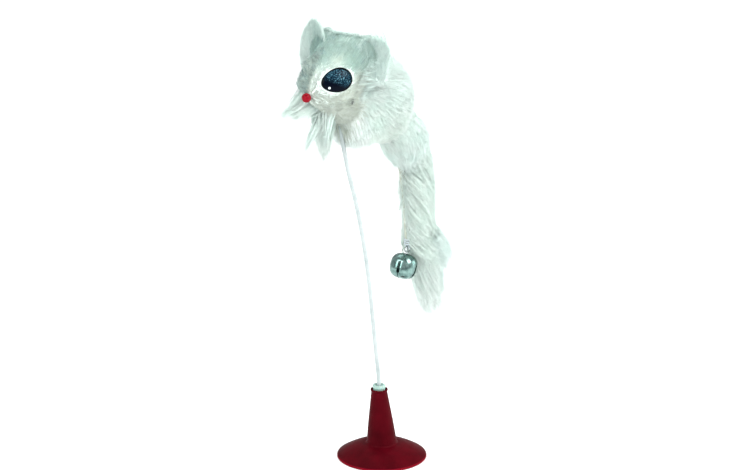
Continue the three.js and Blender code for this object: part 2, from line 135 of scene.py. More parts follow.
class Shader:
    """A material with one Principled shader, and short calls for the nodes that feed it."""

    def __init__(self, name):
        self.material = bpy.data.materials.new(name)
        self.material.use_nodes = True
        self.tree = self.material.node_tree
        self.principled = self.tree.nodes["Principled BSDF"]

    def set(self, **values):
        for name, value in values.items():
            self.principled.inputs[name.replace("_", " ")].default_value = value

    def node(self, kind, **settings):
        made = self.tree.nodes.new(kind)
        for name, value in settings.items():
            setattr(made, name, value)
        return made

    def link(self, source, target):
        self.tree.links.new(source, target)

    def place(self):
        """The point on the object, in metres, whatever the pose."""
        return self.node("ShaderNodeTexCoord").outputs["Object"]

    def noise(self, size, detail=3.0, stretch=None):
        """Noise whose lumps are about size millimetres across."""
        texture = self.node("ShaderNodeTexNoise")
        texture.inputs["Scale"].default_value = 1 / (size * MM)
        texture.inputs["Detail"].default_value = detail
        source = self.place()
        if stretch:
            mapping = self.node("ShaderNodeMapping")
            mapping.inputs["Scale"].default_value = stretch
            self.link(source, mapping.inputs["Vector"])
            source = mapping.outputs["Vector"]
        self.link(source, texture.inputs["Vector"])
        return texture.outputs["Fac"]

    def ramp(self, source, stops):
        ramp = self.node("ShaderNodeValToRGB")
        elements = ramp.color_ramp.elements
        while len(elements) < len(stops):
            elements.new(0.5)
        for element, (position, colour) in zip(elements, stops):
            element.position = position
            element.color = (*colour, 1)
        self.link(source, ramp.inputs["Fac"])
        return ramp.outputs["Color"]

    def mix(self, factor, first, second, kind="MIX"):
        mix = self.node("ShaderNodeMix", data_type="RGBA", blend_type=kind)
        for socket, value in ((mix.inputs["Factor"], factor), (mix.inputs[6], first),
                              (mix.inputs[7], second)):
            if isinstance(value, bpy.types.NodeSocket):
                self.link(value, socket)
            elif isinstance(value, (int, float)):
                socket.default_value = value
            else:
                socket.default_value = (*value, 1)
        return mix.outputs[2]

    def between(self, source, low, high):
        """source from 0 to 1, mapped to low to high."""
        mapped = self.node("ShaderNodeMapRange")
        mapped.inputs["To Min"].default_value = low
        mapped.inputs["To Max"].default_value = high
        self.link(source, mapped.inputs["Value"])
        return mapped.outputs["Result"]

    def step(self, source, low, high):
        """0 where source is below low, 1 above high."""
        mapped = self.node("ShaderNodeMapRange", interpolation_type="SMOOTHSTEP")
        mapped.inputs["From Min"].default_value = low
        mapped.inputs["From Max"].default_value = high
        self.link(source, mapped.inputs["Value"])
        return mapped.outputs["Result"]

    def axis(self, source, name):
        split = self.node("ShaderNodeSeparateXYZ")
        self.link(source, split.inputs["Vector"])
        return split.outputs[name]

    def colour(self, source):
        self.link(source, self.principled.inputs["Base Color"])

    def roughness(self, source):
        self.link(source, self.principled.inputs["Roughness"])

    def bump(self, source, depth, strength=1.0):
        """A relief depth millimetres high."""
        bump = self.node("ShaderNodeBump")
        bump.inputs["Strength"].default_value = strength
        bump.inputs["Distance"].default_value = depth * MM
        self.link(source, bump.inputs["Height"])
        self.link(bump.outputs["Normal"], self.principled.inputs["Normal"])


def rubber_material():
    """Dark red rubber: cloudy and satin, with a painted highlight: the thin lip of the rim is painted a
    lighter red, as where it catches the light.
    """
    shader = Shader("red_rubber")
    shader.set(Specular_IOR_Level=0.02)
    cloud = shader.noise(9, 4)
    body = shader.ramp(cloud, [(0.3, (0.042, 0.0006, 0.0026)), (0.7, (0.072, 0.0012, 0.0046))])
    height = shader.axis(shader.place(), "Z")
    # Painted highlight: below about 1.25 mm, the rim's lip turns a lighter red.
    rim = shader.step(height, 1.25 * MM, 0.55 * MM)
    shader.colour(shader.mix(rim, body, (0.17, 0.003, 0.010)))
    grain = shader.noise(0.35, 2)
    shader.roughness(shader.between(shader.noise(3, 3), 0.38, 0.55))
    shader.bump(grain, 0.012)
    return shader.material


def mint_material():
    """Pale mint-white plastic with faint mould flow."""
    shader = Shader("mint_plastic")
    shader.set(Subsurface_Weight=0.15, Subsurface_Scale=0.0015)
    flow = shader.noise(2.5, 3, (1, 1, 0.3))
    shader.colour(shader.ramp(flow, [(0.3, (0.25, 0.38, 0.34)), (0.7, (0.31, 0.45, 0.41))]))
    shader.roughness(shader.between(flow, 0.3, 0.45))
    shader.bump(shader.noise(0.3, 2), 0.008)
    return shader.material


def coating_material():
    """The stem's white plastic coating: drawn lines along it and a little handling grime."""
    shader = Shader("white_coating")
    grime = shader.noise(6, 4)
    shader.colour(shader.ramp(grime, [(0.25, (0.30, 0.36, 0.36)), (0.6, (0.42, 0.47, 0.47))]))
    drawn = shader.noise(0.5, 2, (1, 1, 0.05))
    shader.roughness(shader.between(drawn, 0.3, 0.5))
    shader.bump(drawn, 0.01)
    return shader.material


def core_material():
    shader = Shader("core_plastic")
    shader.colour(shader.ramp(shader.noise(5, 3), [(0.3, (0.70, 0.68, 0.62)), (0.7, (0.80, 0.78, 0.72))]))
    shader.roughness(shader.between(shader.noise(1.2, 2), 0.4, 0.6))
    shader.bump(shader.noise(0.4, 2), 0.02)
    return shader.material


def fur_material(name, noise_size, dark, sheen):
    """Hair: the colour that each hair carries, slightly uneven from place to place."""
    shader = Shader(name)
    shader.set(Sheen_Weight=sheen, Sheen_Roughness=0.4, Specular_IOR_Level=0.25)
    # tint is each hair's own colour, with the painted shade and painted light that the hair code puts into
    # it.
    tint = shader.node("ShaderNodeAttribute", attribute_name="tint").outputs["Color"]
    cloud = shader.noise(noise_size, 3)
    uneven = shader.ramp(cloud, [(0.3, dark), (0.65, (1, 1, 1))])
    shader.colour(shader.mix(1.0, tint, uneven, "MULTIPLY"))
    shader.roughness(shader.between(cloud, 0.5, 0.7))
    return shader.material


def hide_material():
    """The hide under the hair: downy, and about as pale as the hair."""
    shader = Shader("hide")
    down = shader.noise(0.7, 4)
    shader.set(Sheen_Weight=0.4)
    shader.colour(shader.ramp(down, [(0.3, (0.70, 0.82, 0.77)), (0.7, (0.82, 0.91, 0.87))]))
    shader.roughness(shader.between(down, 0.7, 0.9))
    shader.bump(down, 0.15)
    return shader.material


def leather_material():
    """The tail's bare edge: pale leather with a fibrous cut face."""
    shader = Shader("leather_edge")
    fibre = shader.noise(0.5, 4, (1, 1, 0.15))
    shader.colour(shader.ramp(fibre, [(0.3, (0.24, 0.26, 0.20)), (0.55, (0.46, 0.49, 0.42)),
                                      (0.75, (0.62, 0.67, 0.61))]))
    shader.roughness(shader.between(fibre, 0.6, 0.85))
    shader.bump(fibre, 0.12)
    return shader.material


def eye_material(name, side):
    """Blue-black plastic: mottled blue over the upper back part, plain towards the nose, one white dot. The
    mottle is partly glitter and partly a painted reflection, kept to the upper back that faces the light;
    the white dot is a painted highlight.
    """
    shader = Shader(name)
    shader.set(Specular_IOR_Level=0.05)
    flip = np.array([1, -side, 1])
    middle = world(EYE_CENTRE * flip)
    place = shader.node("ShaderNodeVectorMath", operation="SUBTRACT")
    shader.link(shader.place(), place.inputs[0])
    place.inputs[1].default_value = middle

    def along(direction):
        dot = shader.node("ShaderNodeVectorMath", operation="DOT_PRODUCT")
        shader.link(place.outputs[0], dot.inputs[0])
        dot.inputs[1].default_value = direction
        return dot.outputs["Value"]

    def math_node(operation, *sources):
        made = shader.node("ShaderNodeMath", operation=operation)
        for at, source in enumerate(sources):
            shader.link(source, made.inputs[at])
        return made.outputs["Value"]

    mottle = shader.noise(0.42, 5)
    blue = shader.ramp(mottle, [(0.42, (0.0005, 0.003, 0.007)), (0.52, (0.004, 0.018, 0.034)),
                                (0.60, (0.024, 0.085, 0.125)), (0.68, (0.13, 0.28, 0.34))])
    # Partly painted reflection: the blue mottle is kept to the upper back of the eye, which faces the
    # light.
    glitter_and_reflection_zone = shader.step(along((EYE_BACKWARD * 0.6 + EYE_UPWARD * 0.8) * flip), -2.6 * MM, 0.4 * MM)
    plain = shader.mix(glitter_and_reflection_zone, (0.0004, 0.0016, 0.006), blue)
    long_way = along(EYE_BACKWARD * flip / (EYE_HALF[0] * MM))
    high_way = along(EYE_UPWARD * flip / (EYE_HALF[1] * MM))
    from_middle = math_node("ADD", math_node("MULTIPLY", long_way, long_way),
                            math_node("MULTIPLY", high_way, high_way))
    plain = shader.mix(shader.step(from_middle, 0.62, 0.92), plain, (0.0006, 0.0016, 0.003))
    # Painted highlight: a small white dot low towards the nose, set a little out from the eye.
    highlight_at = (EYE_BACKWARD * PAINTED_EYE_HIGHLIGHT[0] + EYE_UPWARD * PAINTED_EYE_HIGHLIGHT[1]) * flip * MM
    gap = shader.node("ShaderNodeVectorMath", operation="DISTANCE")
    shader.link(place.outputs[0], gap.inputs[0])
    gap.inputs[1].default_value = highlight_at + EYE_OUTWARD * flip * PAINTED_EYE_HIGHLIGHT_LIFT * MM
    dot = shader.step(gap.outputs["Value"], 0.62 * MM, 0.42 * MM)
    shader.colour(shader.mix(dot, plain, (0.85, 0.92, 0.95)))
    shader.roughness(shader.between(mottle, 0.14, 0.30))
    return shader.material


def bead_material():
    shader = Shader("red_bead")
    shader.set(Specular_IOR_Level=0.08)
    cloud = shader.noise(0.8, 3)
    shader.colour(shader.ramp(cloud, [(0.34, (0.10, 0.001, 0.005)), (0.46, (0.20, 0.002, 0.009)),
                                      (0.7, (0.26, 0.003, 0.013))]))
    shader.roughness(shader.between(cloud, 0.2, 0.35))
    return shader.material


def thread_material():
    shader = Shader("clear_thread")
    shader.set(Coat_Weight=0.3)
    ply = shader.noise(0.4, 2)
    shader.colour(shader.ramp(ply, [(0.3, (0.30, 0.36, 0.40)), (0.7, (0.55, 0.62, 0.66))]))
    shader.roughness(shader.between(ply, 0.2, 0.4))
    return shader.material


def metal_material(name, low, high, rough_low, rough_high, grain):
    """Plated metal with faint clouding and fine wear."""
    shader = Shader(name)
    shader.set(Metallic=1.0)
    cloud = shader.noise(2.2, 4)
    shader.colour(shader.ramp(cloud, [(0.35, low), (0.7, high)]))
    shader.roughness(shader.between(shader.noise(grain, 4), rough_low, rough_high))
    shader.bump(shader.noise(grain, 3), 0.006)
    return shader.material


RUBBER = rubber_material()
MINT = mint_material()
COATING = coating_material()
CORE = core_material()
LONG_FUR = fur_material("long_fur", 6, (0.90, 0.95, 0.935), 0.25)
SHORT_FUR = fur_material("short_fur", 3, (0.93, 0.94, 0.90), 0.15)
HIDE = hide_material()
LEATHER = leather_material()
BEAD = bead_material()
THREAD = thread_material()
NICKEL = metal_material("nickel", (0.09, 0.16, 0.15), (0.28, 0.42, 0.39), 0.14, 0.26, 0.6)
STEEL_WIRE = metal_material("steel_wire", (0.50, 0.53, 0.55), (0.70, 0.72, 0.73), 0.18, 0.32, 0.5)
STEEL_BALL = metal_material("steel_ball", (0.30, 0.31, 0.32), (0.48, 0.49, 0.50), 0.2, 0.4, 0.5)


# ---------------------------------------------------------------- meshes


def link_mesh(name, mesh, material):
    mesh.materials.append(material)
    piece = bpy.data.objects.new(name, mesh)
    bpy.context.scene.collection.objects.link(piece)
    return piece


def new_piece(name, points, faces, material, smooth_angle=40):
    """A piece from points in millimetres from the cup's axis."""
    mesh = bpy.data.meshes.new(name)
    mesh.from_pydata(world(points).tolist(), [], [list(face) for face in faces])
    mesh.shade_smooth()
    mesh.set_sharp_from_angle(angle=math.radians(smooth_angle))
    return link_mesh(name, mesh, material)


def grid_faces(rows, columns, closed_rows=False):
    """Quads over a grid of points, whose columns close on themselves."""
    faces = []
    for row in range(rows if closed_rows else rows - 1):
        below = (row + 1) % rows
        for column in range(columns):
            beside = (column + 1) % columns
            faces.append((row * columns + column, row * columns + beside,
                          below * columns + beside, below * columns + column))
    return faces


def capped_grid(rows, columns):
    """The quads of a grid, with its first and last rows closed."""
    faces = grid_faces(rows, columns)
    faces.append(tuple(range(columns)))
    faces.append(tuple(range((rows - 1) * columns, rows * columns)))
    return faces


def turned(profile, sides, lean=0.0, lean_from=0.0):
    """A closed ring of profile points (radius, height) turned round +Z."""
    turns = np.linspace(0, 2 * np.pi, sides, endpoint=False)
    rows = []
    for radius, height in profile:
        shift = lean * max(0.0, height - lean_from)
        rows.append(np.stack([radius * np.cos(turns) - shift, radius * np.sin(turns),
                              np.full(sides, height)], 1))
    return np.concatenate(rows)


def rounded(profile, radius, steps=4):
    """The profile with each inner corner replaced by an arc-like curve of about that radius."""
    points = [np.array(p, float) for p in profile]
    made = [points[0]]
    for before, corner, after in zip(points, points[1:], points[2:]):
        reach_in = min(radius, np.linalg.norm(before - corner) / 2.01)
        reach_out = min(radius, np.linalg.norm(after - corner) / 2.01)
        start = corner + unit(before - corner) * reach_in
        end = corner + unit(after - corner) * reach_out
        for step in range(steps + 1):
            t = step / steps
            made.append((1 - t) ** 2 * start + 2 * t * (1 - t) * corner + t ** 2 * end)
    made.append(points[-1])
    return made


class Line:
    """A smooth curve through points, found by arc length from 0 to 1."""

    def __init__(self, points, samples=400):
        points = np.asarray(points, float)
        ends = np.concatenate([[2 * points[0] - points[1]], points, [2 * points[-1] - points[-2]]])
        dense = []
        for i in range(len(points) - 1):
            p0, p1, p2, p3 = ends[i:i + 4]
            t = np.linspace(0, 1, samples // (len(points) - 1), endpoint=False)[:, None]
            dense.append(0.5 * (2 * p1 + (p2 - p0) * t + (2 * p0 - 5 * p1 + 4 * p2 - p3) * t ** 2
                                + (3 * p1 - p0 - 3 * p2 + p3) * t ** 3))
        self.points = np.concatenate(dense + [points[-1:]])
        steps = np.linalg.norm(np.diff(self.points, axis=0), axis=1)
        self.length = steps.sum()
        self.at = np.concatenate([[0], np.cumsum(steps)]) / self.length

    def point(self, t):
        return np.stack([np.interp(t, self.at, self.points[:, k]) for k in range(3)], -1)

    def tangent(self, t, reach=0.01):
        return unit(self.point(np.clip(t + reach, 0, 1)) - self.point(np.clip(t - reach, 0, 1)))

    def reaching(self, height):
        """The parameter at which the line is at that height."""
        return float(self.at[np.argmin(np.abs(self.points[:, 2] - height))])


def tube(line, radius, start, end, rings, sides, across=(0, 1, 0)):
    """Points and faces of a capped tube. radius is a number, or a function of the parameter."""
    t = np.linspace(start, end, rings)
    middle = line.point(t)
    along = line.tangent(t)
    side = unit(np.cross(along, np.cross(np.array(across, float), along)))
    up = np.cross(along, side)
    size = np.array([radius(value) if callable(radius) else radius for value in t])
    turns = np.linspace(0, 2 * np.pi, sides, endpoint=False)
    points = (middle[:, None] + size[:, None, None]
              * (np.cos(turns)[None, :, None] * side[:, None] + np.sin(turns)[None, :, None] * up[:, None]))
    faces = grid_faces(rings, sides)
    faces.append(tuple(reversed(range(sides))))
    faces.append(tuple(range((rings - 1) * sides, rings * sides)))
    return points.reshape(-1, 3), faces


def outward(points, faces):
    """The faces, turned so that they point out of the closed shape."""
    mesh = bmesh.new()
    made = [mesh.verts.new(p) for p in points]
    for face in faces:
        mesh.faces.new([made[i] for i in face])
    bmesh.ops.recalc_face_normals(mesh, faces=mesh.faces)
    mesh.verts.index_update()
    turned_faces = [[v.index for v in face.verts] for face in mesh.faces]
    mesh.free()
    return turned_faces


# ---------------------------------------------------------------- suction cup and plug

CUP_LEAN = 0.075  # how far the cone leans forward for each millimetre of height
CUP_RADIUS = 21.0
HOLLOW_RADIUS, HOLLOW_HEIGHT = 19.4, 3.2
FLANGE_TOP = 6.4
CONE_TOP = 34.0
SOCKET_FLOOR = 18.0


def cup_profile():
    underside = [(radius, HOLLOW_HEIGHT * (1 - (radius / HOLLOW_RADIUS) ** 2))
                 for radius in np.linspace(0.02, HOLLOW_RADIUS, 14)]
    lip = [(20.93, 0.0), (CUP_RADIUS, 0.12), (CUP_RADIUS, 0.75)]
    flange = [(CUP_RADIUS - 13.3 * t, 0.9 + 5.5 * (1 - (1 - t) ** 1.55)) for t in np.linspace(0.03, 1, 16)]
    cone = [(7.1, FLANGE_TOP + 0.6), (5.9, 17), (3.75, CONE_TOP - 1.5), (4.1, CONE_TOP - 0.5),
            (3.95, CONE_TOP), (3.4, CONE_TOP), (3.15, CONE_TOP - 0.9), (3.1, SOCKET_FLOOR + 0.4),
            (2.7, SOCKET_FLOOR), (0.02, SOCKET_FLOOR)]
    return rounded(underside + lip + flange + cone, 0.3, 3)


def make_cup():
    profile = cup_profile()
    sides = 128
    points = turned(profile, sides, CUP_LEAN, FLANGE_TOP)
    faces = outward(points, grid_faces(len(profile), sides, closed_rows=True))
    cup = new_piece("cup", points, faces, RUBBER, 50)
    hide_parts("suction_cup")
    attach(cup, "base")


def make_plug():
    seat = CONE_TOP + 0.3
    top = seat + 1.7
    foot = seat - 14
    profile = rounded([(1.3, foot), (2.4, foot), (2.8, foot + 1), (2.8, seat), (3.05, seat + 0.1),
                       (3.05, top - 0.45), (2.7, top), (1.9, top + 0.02), (1.7, top - 0.35),
                       (1.3, top - 0.35), (1.3, foot)], 0.25, 4)[:-1]
    sides = 72
    points = turned(profile, sides, CUP_LEAN, FLANGE_TOP)
    faces = outward(points, grid_faces(len(profile), sides, closed_rows=True))
    plug = new_piece("plug", points, faces, MINT, 50)
    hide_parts("stem_plug")
    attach(plug, "base")


# ---------------------------------------------------------------- stem

STEM_RADIUS = 1.0
STEM_BEND = 8  # above and below each hinge; the points that far from a hinge are found, and nothing uses them
STEM_JOINTS = ["stem_sway_1", "stem_lean_1", "stem_sway_2", "stem_lean_2", "stem_sway_3", "stem_lean_3",
               "stem_sway_4"]
stem_foot_low = local(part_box("stem_1")[0])[2]
stem_head_high = local(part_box("stem_8")[1])[2]
stem_line = Line([
    (-1.2, 0, stem_foot_low),
    (-1.95, 0, 33),
    *[joint_at(name) for name in STEM_JOINTS],
    (-29.0, 0, 166),
    (-30.6, 0, stem_head_high),
])


def make_stem():
    heights = [joint_at(name)[2] for name in STEM_JOINTS]
    cuts = [stem_foot_low] + [(a + b) / 2 for a, b in zip(heights, heights[1:])] + [stem_head_high]
    for i, height in enumerate(heights):
        start = stem_line.reaching(cuts[i])
        end = stem_line.reaching(cuts[i + 1])
        points, faces = tube(stem_line, STEM_RADIUS, start, end, 24, 24)
        piece = new_piece(f"stem_bend_{i + 1}", points, outward(points, faces), COATING,
                          60)
        replaced = [f"stem_{i + 1}"] + (["stem_8"] if i == len(heights) - 1 else [])
        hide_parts(*replaced)
        low = stem_line.point(stem_line.reaching(height - STEM_BEND))
        high = stem_line.point(stem_line.reaching(height + STEM_BEND))
        world(low)
        world(high)
        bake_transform(piece)


# ---------------------------------------------------------------- mouse: the forms under the hair

BODY_CENTRE, BODY_HALF, CHEST_RISE = (-8, 174), (22, 20, 23.3), 4
RUMP_CENTRE, RUMP_HALF = (8, 157.5), (12.5, 11.5, 12)
HEAD_CENTRE, HEAD_HALF, SNOUT_TAPER, SNOUT_DROOP = (-34, 189.5), (17.2, 13.8, 14.5), 0.44, 5.5
MASK_EDGE_X = -28
EYE_OUTWARD = unit([-0.5, -0.82, 0.26])
EYE_LONG_WAY = np.array([0.87, -0.34, 0.14])
EYE_BACKWARD = unit(EYE_LONG_WAY - EYE_OUTWARD * np.dot(EYE_LONG_WAY, EYE_OUTWARD))
EYE_UPWARD = np.cross(EYE_OUTWARD, EYE_BACKWARD)
if EYE_UPWARD[2] < 0:
    EYE_UPWARD = -EYE_UPWARD
EYE_CENTRE = np.array([-42, -9.2, 190.5])
EYE_HALF = (7.3, 5.3, 2.1)
EYE_BED_HALF = (8.6, 6.6, 2.8)
PAINTED_EYE_HIGHLIGHT = (-4.5, -2.3)  # where the painted highlight sits, along the eye's backward and upward directions
PAINTED_EYE_HIGHLIGHT_LIFT = 1.4


def ellipsoid(x, y, z, half):
    """Roughly the distance from an ellipsoid at the origin, negative inside."""
    k0 = np.sqrt((x / half[0]) ** 2 + (y / half[1]) ** 2 + (z / half[2]) ** 2)
    k1 = np.sqrt((x / half[0] ** 2) ** 2 + (y / half[1] ** 2) ** 2 + (z / half[2] ** 2) ** 2)
    return k0 * (k0 - 1) / np.maximum(k1, 1e-6)


def trunk_field(p, inset):
    half = [value - inset for value in BODY_HALF]
    x = p[:, 0] - BODY_CENTRE[0]
    z = p[:, 2] - BODY_CENTRE[1]
    low = 1 / (1 + np.exp(z / 3))
    z = z - CHEST_RISE * np.maximum(0, -x / half[0]) * (0.2 + 0.8 * low)
    return ellipsoid(x, p[:, 1], z, half)


def head_field(p, inset):
    half = [value - inset for value in HEAD_HALF]
    x = p[:, 0] - HEAD_CENTRE[0]
    forward = np.clip(-x / half[0], 0, 1.2)
    taper = 1 - SNOUT_TAPER * forward
    z = p[:, 2] - HEAD_CENTRE[1] + SNOUT_DROOP * forward ** 1.5
    return ellipsoid(x, p[:, 1] / taper, z / taper, half)


def rump_field(p, inset):
    return ellipsoid(p[:, 0] - RUMP_CENTRE[0], p[:, 1], p[:, 2] - RUMP_CENTRE[1],
                     [value - inset for value in RUMP_HALF])


def merged(a, b, reach):
    """The two distances joined, with a fillet of about reach."""
    h = np.clip(0.5 + 0.5 * (b - a) / reach, 0, 1)
    return b * (1 - h) + a * h - reach * h * (1 - h)


BODY_INSET, HEAD_INSET = 4.3, 1.5  # from the outside of the fur to the hide
HIDE_THICKNESS = 0.5
CROWN_CENTRE, CROWN_HALF = (-24.0, 0, 196), (4.0, 18.0, 8.4)
EAR_ROOT_CENTRE, EAR_ROOT_HALF = (-23.5, 12.5, 196.5), (4.2, 6.5, 8.6)  # mirrored on the left side
JAW_CENTRE, JAW_HALF = (-38.5, 0, 181.5), (8.5, 8.0, 5.2)
CHEST_CENTRE, CHEST_HALF = (-20.0, 0, 167.5), (9.5, 10.0, 10.0)
THROAT_CENTRE, THROAT_HALF = (-31.0, 0, 175.5), (7.0, 7.5, 6.0)
TAIL_ROOT_CENTRE, TAIL_ROOT_HALF = (15.0, 0, 151), (8.0, 8.0, 10.0)


def eye_mound(p, side):
    """The raised bed that an eye sits on."""
    flip = np.array([1, -side, 1])
    offset = p - (EYE_CENTRE - EYE_OUTWARD * 1.7) * flip
    return ellipsoid(offset @ (EYE_BACKWARD * flip), offset @ (EYE_UPWARD * flip),
                     offset @ (EYE_OUTWARD * flip), EYE_BED_HALF)


def mound(p, centre, half):
    return ellipsoid(p[:, 0] - centre[0], p[:, 1] - centre[1], p[:, 2] - centre[2], half)


def hide_field(p):
    body = merged(trunk_field(p, BODY_INSET), rump_field(p, BODY_INSET), 6)
    body = merged(body, mound(p, TAIL_ROOT_CENTRE, TAIL_ROOT_HALF), 11)
    body = merged(body, mound(p, CHEST_CENTRE, CHEST_HALF), 7)
    body = merged(body, mound(p, THROAT_CENTRE, THROAT_HALF), 6)
    body = merged(body, mound(p, CROWN_CENTRE, CROWN_HALF), 5)
    for side in (-1, 1):
        body = merged(body, mound(p * (1, side, 1), EAR_ROOT_CENTRE, EAR_ROOT_HALF), 4)
    head = merged(head_field(p, HEAD_INSET), mound(p, JAW_CENTRE, JAW_HALF), 4)
    for side in (-1, 1):
        head = merged(head, eye_mound(p, side), 3)
    return merged(body, head, 9)


HIDE_MIDDLE = np.array([-17.0, 0, 178.0])


def icosphere(subdivisions):
    mesh = bmesh.new()
    bmesh.ops.create_icosphere(mesh, subdivisions=subdivisions, radius=1)
    mesh.verts.index_update()
    points = np.array([v.co for v in mesh.verts])
    faces = np.array([[v.index for v in face.verts] for face in mesh.faces])
    mesh.free()
    return points, faces


def wrapped(field, middle, subdivisions, reach=62.0, steps=160):
    """An icosphere pushed out from middle to where field is last negative."""
    directions, faces = icosphere(subdivisions)
    directions = unit(directions)
    distances = np.linspace(1, reach, steps)
    inside = np.zeros(len(directions))
    for distance in distances:
        inside = np.where(field(middle + directions * distance) < 0, distance, inside)
    low = inside
    high = inside + (distances[1] - distances[0])
    for _ in range(12):
        mid = (low + high) / 2
        within = field(middle + directions * mid[:, None]) < 0
        low = np.where(within, mid, low)
        high = np.where(within, high, mid)
    return middle + directions * low[:, None], faces


def point_normals(points, faces):
    corners = points[faces]
    face_normals = np.cross(corners[:, 1] - corners[:, 0], corners[:, 2] - corners[:, 0])
    normals = np.zeros_like(points)
    for corner in range(3):
        np.add.at(normals, faces[:, corner], face_normals)
    return unit(normals)


def shell(name, points, faces, keep, thickness, material):
    """A closed skin of that thickness under the kept faces."""
    normals = point_normals(points, faces)
    kept = faces[keep]
    used = np.unique(kept)
    index = -np.ones(len(points), int)
    index[used] = np.arange(len(used))
    kept = index[kept]
    outer = points[used]
    inner = outer - normals[used] * thickness
    count = len(used)
    edges = {}
    for a, b, c in kept:
        for edge in ((a, b), (b, c), (c, a)):
            edges[edge] = True
    rim = [edge for edge in edges if (edge[1], edge[0]) not in edges]
    all_faces = [tuple(f) for f in kept] + [tuple(f[::-1] + count) for f in kept]
    all_faces += [(b, a, a + count, b + count) for a, b in rim]
    return new_piece(name, np.concatenate([outer, inner]), all_faces, material, 80)


hide_points, hide_faces = wrapped(hide_field, HIDE_MIDDLE, 6)
hide_normals = point_normals(hide_points, hide_faces)


def make_hide():
    centres = hide_points[hide_faces].mean(1)
    in_front = centres[:, 0] < MASK_EDGE_X
    mask = shell("mask_hide", hide_points, hide_faces, in_front, HIDE_THICKNESS, HIDE)
    pelt = shell("pelt_hide", hide_points, hide_faces, ~in_front, HIDE_THICKNESS, HIDE)
    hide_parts("face_mask")
    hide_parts("body_pelt")
    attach(mask, "mouse")
    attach(pelt, "mouse")
    return mask, pelt


# ---------------------------------------------------------------- hair

WHITE = np.array([0.77, 0.875, 0.835])
CREAM = np.array([0.79, 0.87, 0.79])
SHADE = np.array([0.36, 0.53, 0.48])
BRIGHTEST = np.array([0.89, 0.95, 0.92])
DARK = np.array([0.10, 0.16, 0.165])
SIDES = 3  # of each hair
BODY_HAIRS, FACE_HAIRS, BRIDGE_HAIRS, EAR_HAIRS = 38000, 24000, 2600, 5200


def scatter(points, faces, normals, count, weight, rng):
    """Random roots on a surface, as dense as weight says, with their normals."""
    corners = points[faces]
    area = np.linalg.norm(np.cross(corners[:, 1] - corners[:, 0], corners[:, 2] - corners[:, 0]), axis=1)
    chance = area * weight(corners.mean(1))
    picked = rng.choice(len(faces), count, p=chance / chance.sum())
    a = rng.random((count, 2))
    over = a.sum(1) > 1
    a[over] = 1 - a[over]
    blend = np.stack([1 - a.sum(1), a[:, 0], a[:, 1]], 1)[:, :, None]
    return (corners[picked] * blend).sum(1), unit((normals[faces[picked]] * blend).sum(1))


def on_surface(vectors, normals):
    """The vectors laid flat on the surface."""
    return unit(vectors - (vectors * normals).sum(-1, keepdims=True) * normals)


def comb_hair(roots, normals, flow, length, lift, fall, rng, segments=3, stray=0.18):
    """Centre lines of hairs that rise from the skin at lift and lie over towards the flow."""
    count = len(roots)
    flow = on_surface(flow + rng.normal(0, stray, (count, 3)), normals)
    lift = lift * (1 + rng.normal(0, 0.3, count))
    start = flow * np.cos(lift)[:, None] + normals * np.sin(lift)[:, None]
    bend = (flow - start) * 0.75 + np.array([0, 0, -fall]) + rng.normal(0, 0.05, (count, 3))
    t = np.linspace(0, 1, segments + 1)
    path = start[:, None] * t[None, :, None] + bend[:, None] * (t ** 2)[None, :, None]
    return roots[:, None] + path * np.asarray(length).reshape(-1, 1, 1)


def clump_hair(lines, share, strength, rng):
    """Draws hairs towards their neighbours' tips, so that they lie in locks."""
    count = len(lines)
    guides = rng.choice(count, max(2, int(count * share)), replace=False)
    guide_roots = lines[guides, 0]
    nearest = np.empty(count, int)
    for start in range(0, count, 2000):
        block = lines[start:start + 2000, 0]
        gap = ((block[:, None] - guide_roots[None]) ** 2).sum(-1)
        nearest[start:start + 2000] = guides[gap.argmin(1)]
    t = np.linspace(0, 1, lines.shape[1])[None, :, None]
    spread = (lines[:, 0] - lines[nearest, 0])[:, None]
    target = lines[nearest] + spread * (1 - 0.75 * t)
    pull = strength * t ** 0.8
    return lines * (1 - pull) + target * pull, nearest


def lock_shade(nearest, amount, rng):
    """A brightness for each hair: mostly its lock's, partly its own."""
    per_lock = rng.normal(0, amount, nearest.max() + 1)
    return 1 + per_lock[nearest] + rng.normal(0, amount * 0.6, len(nearest))


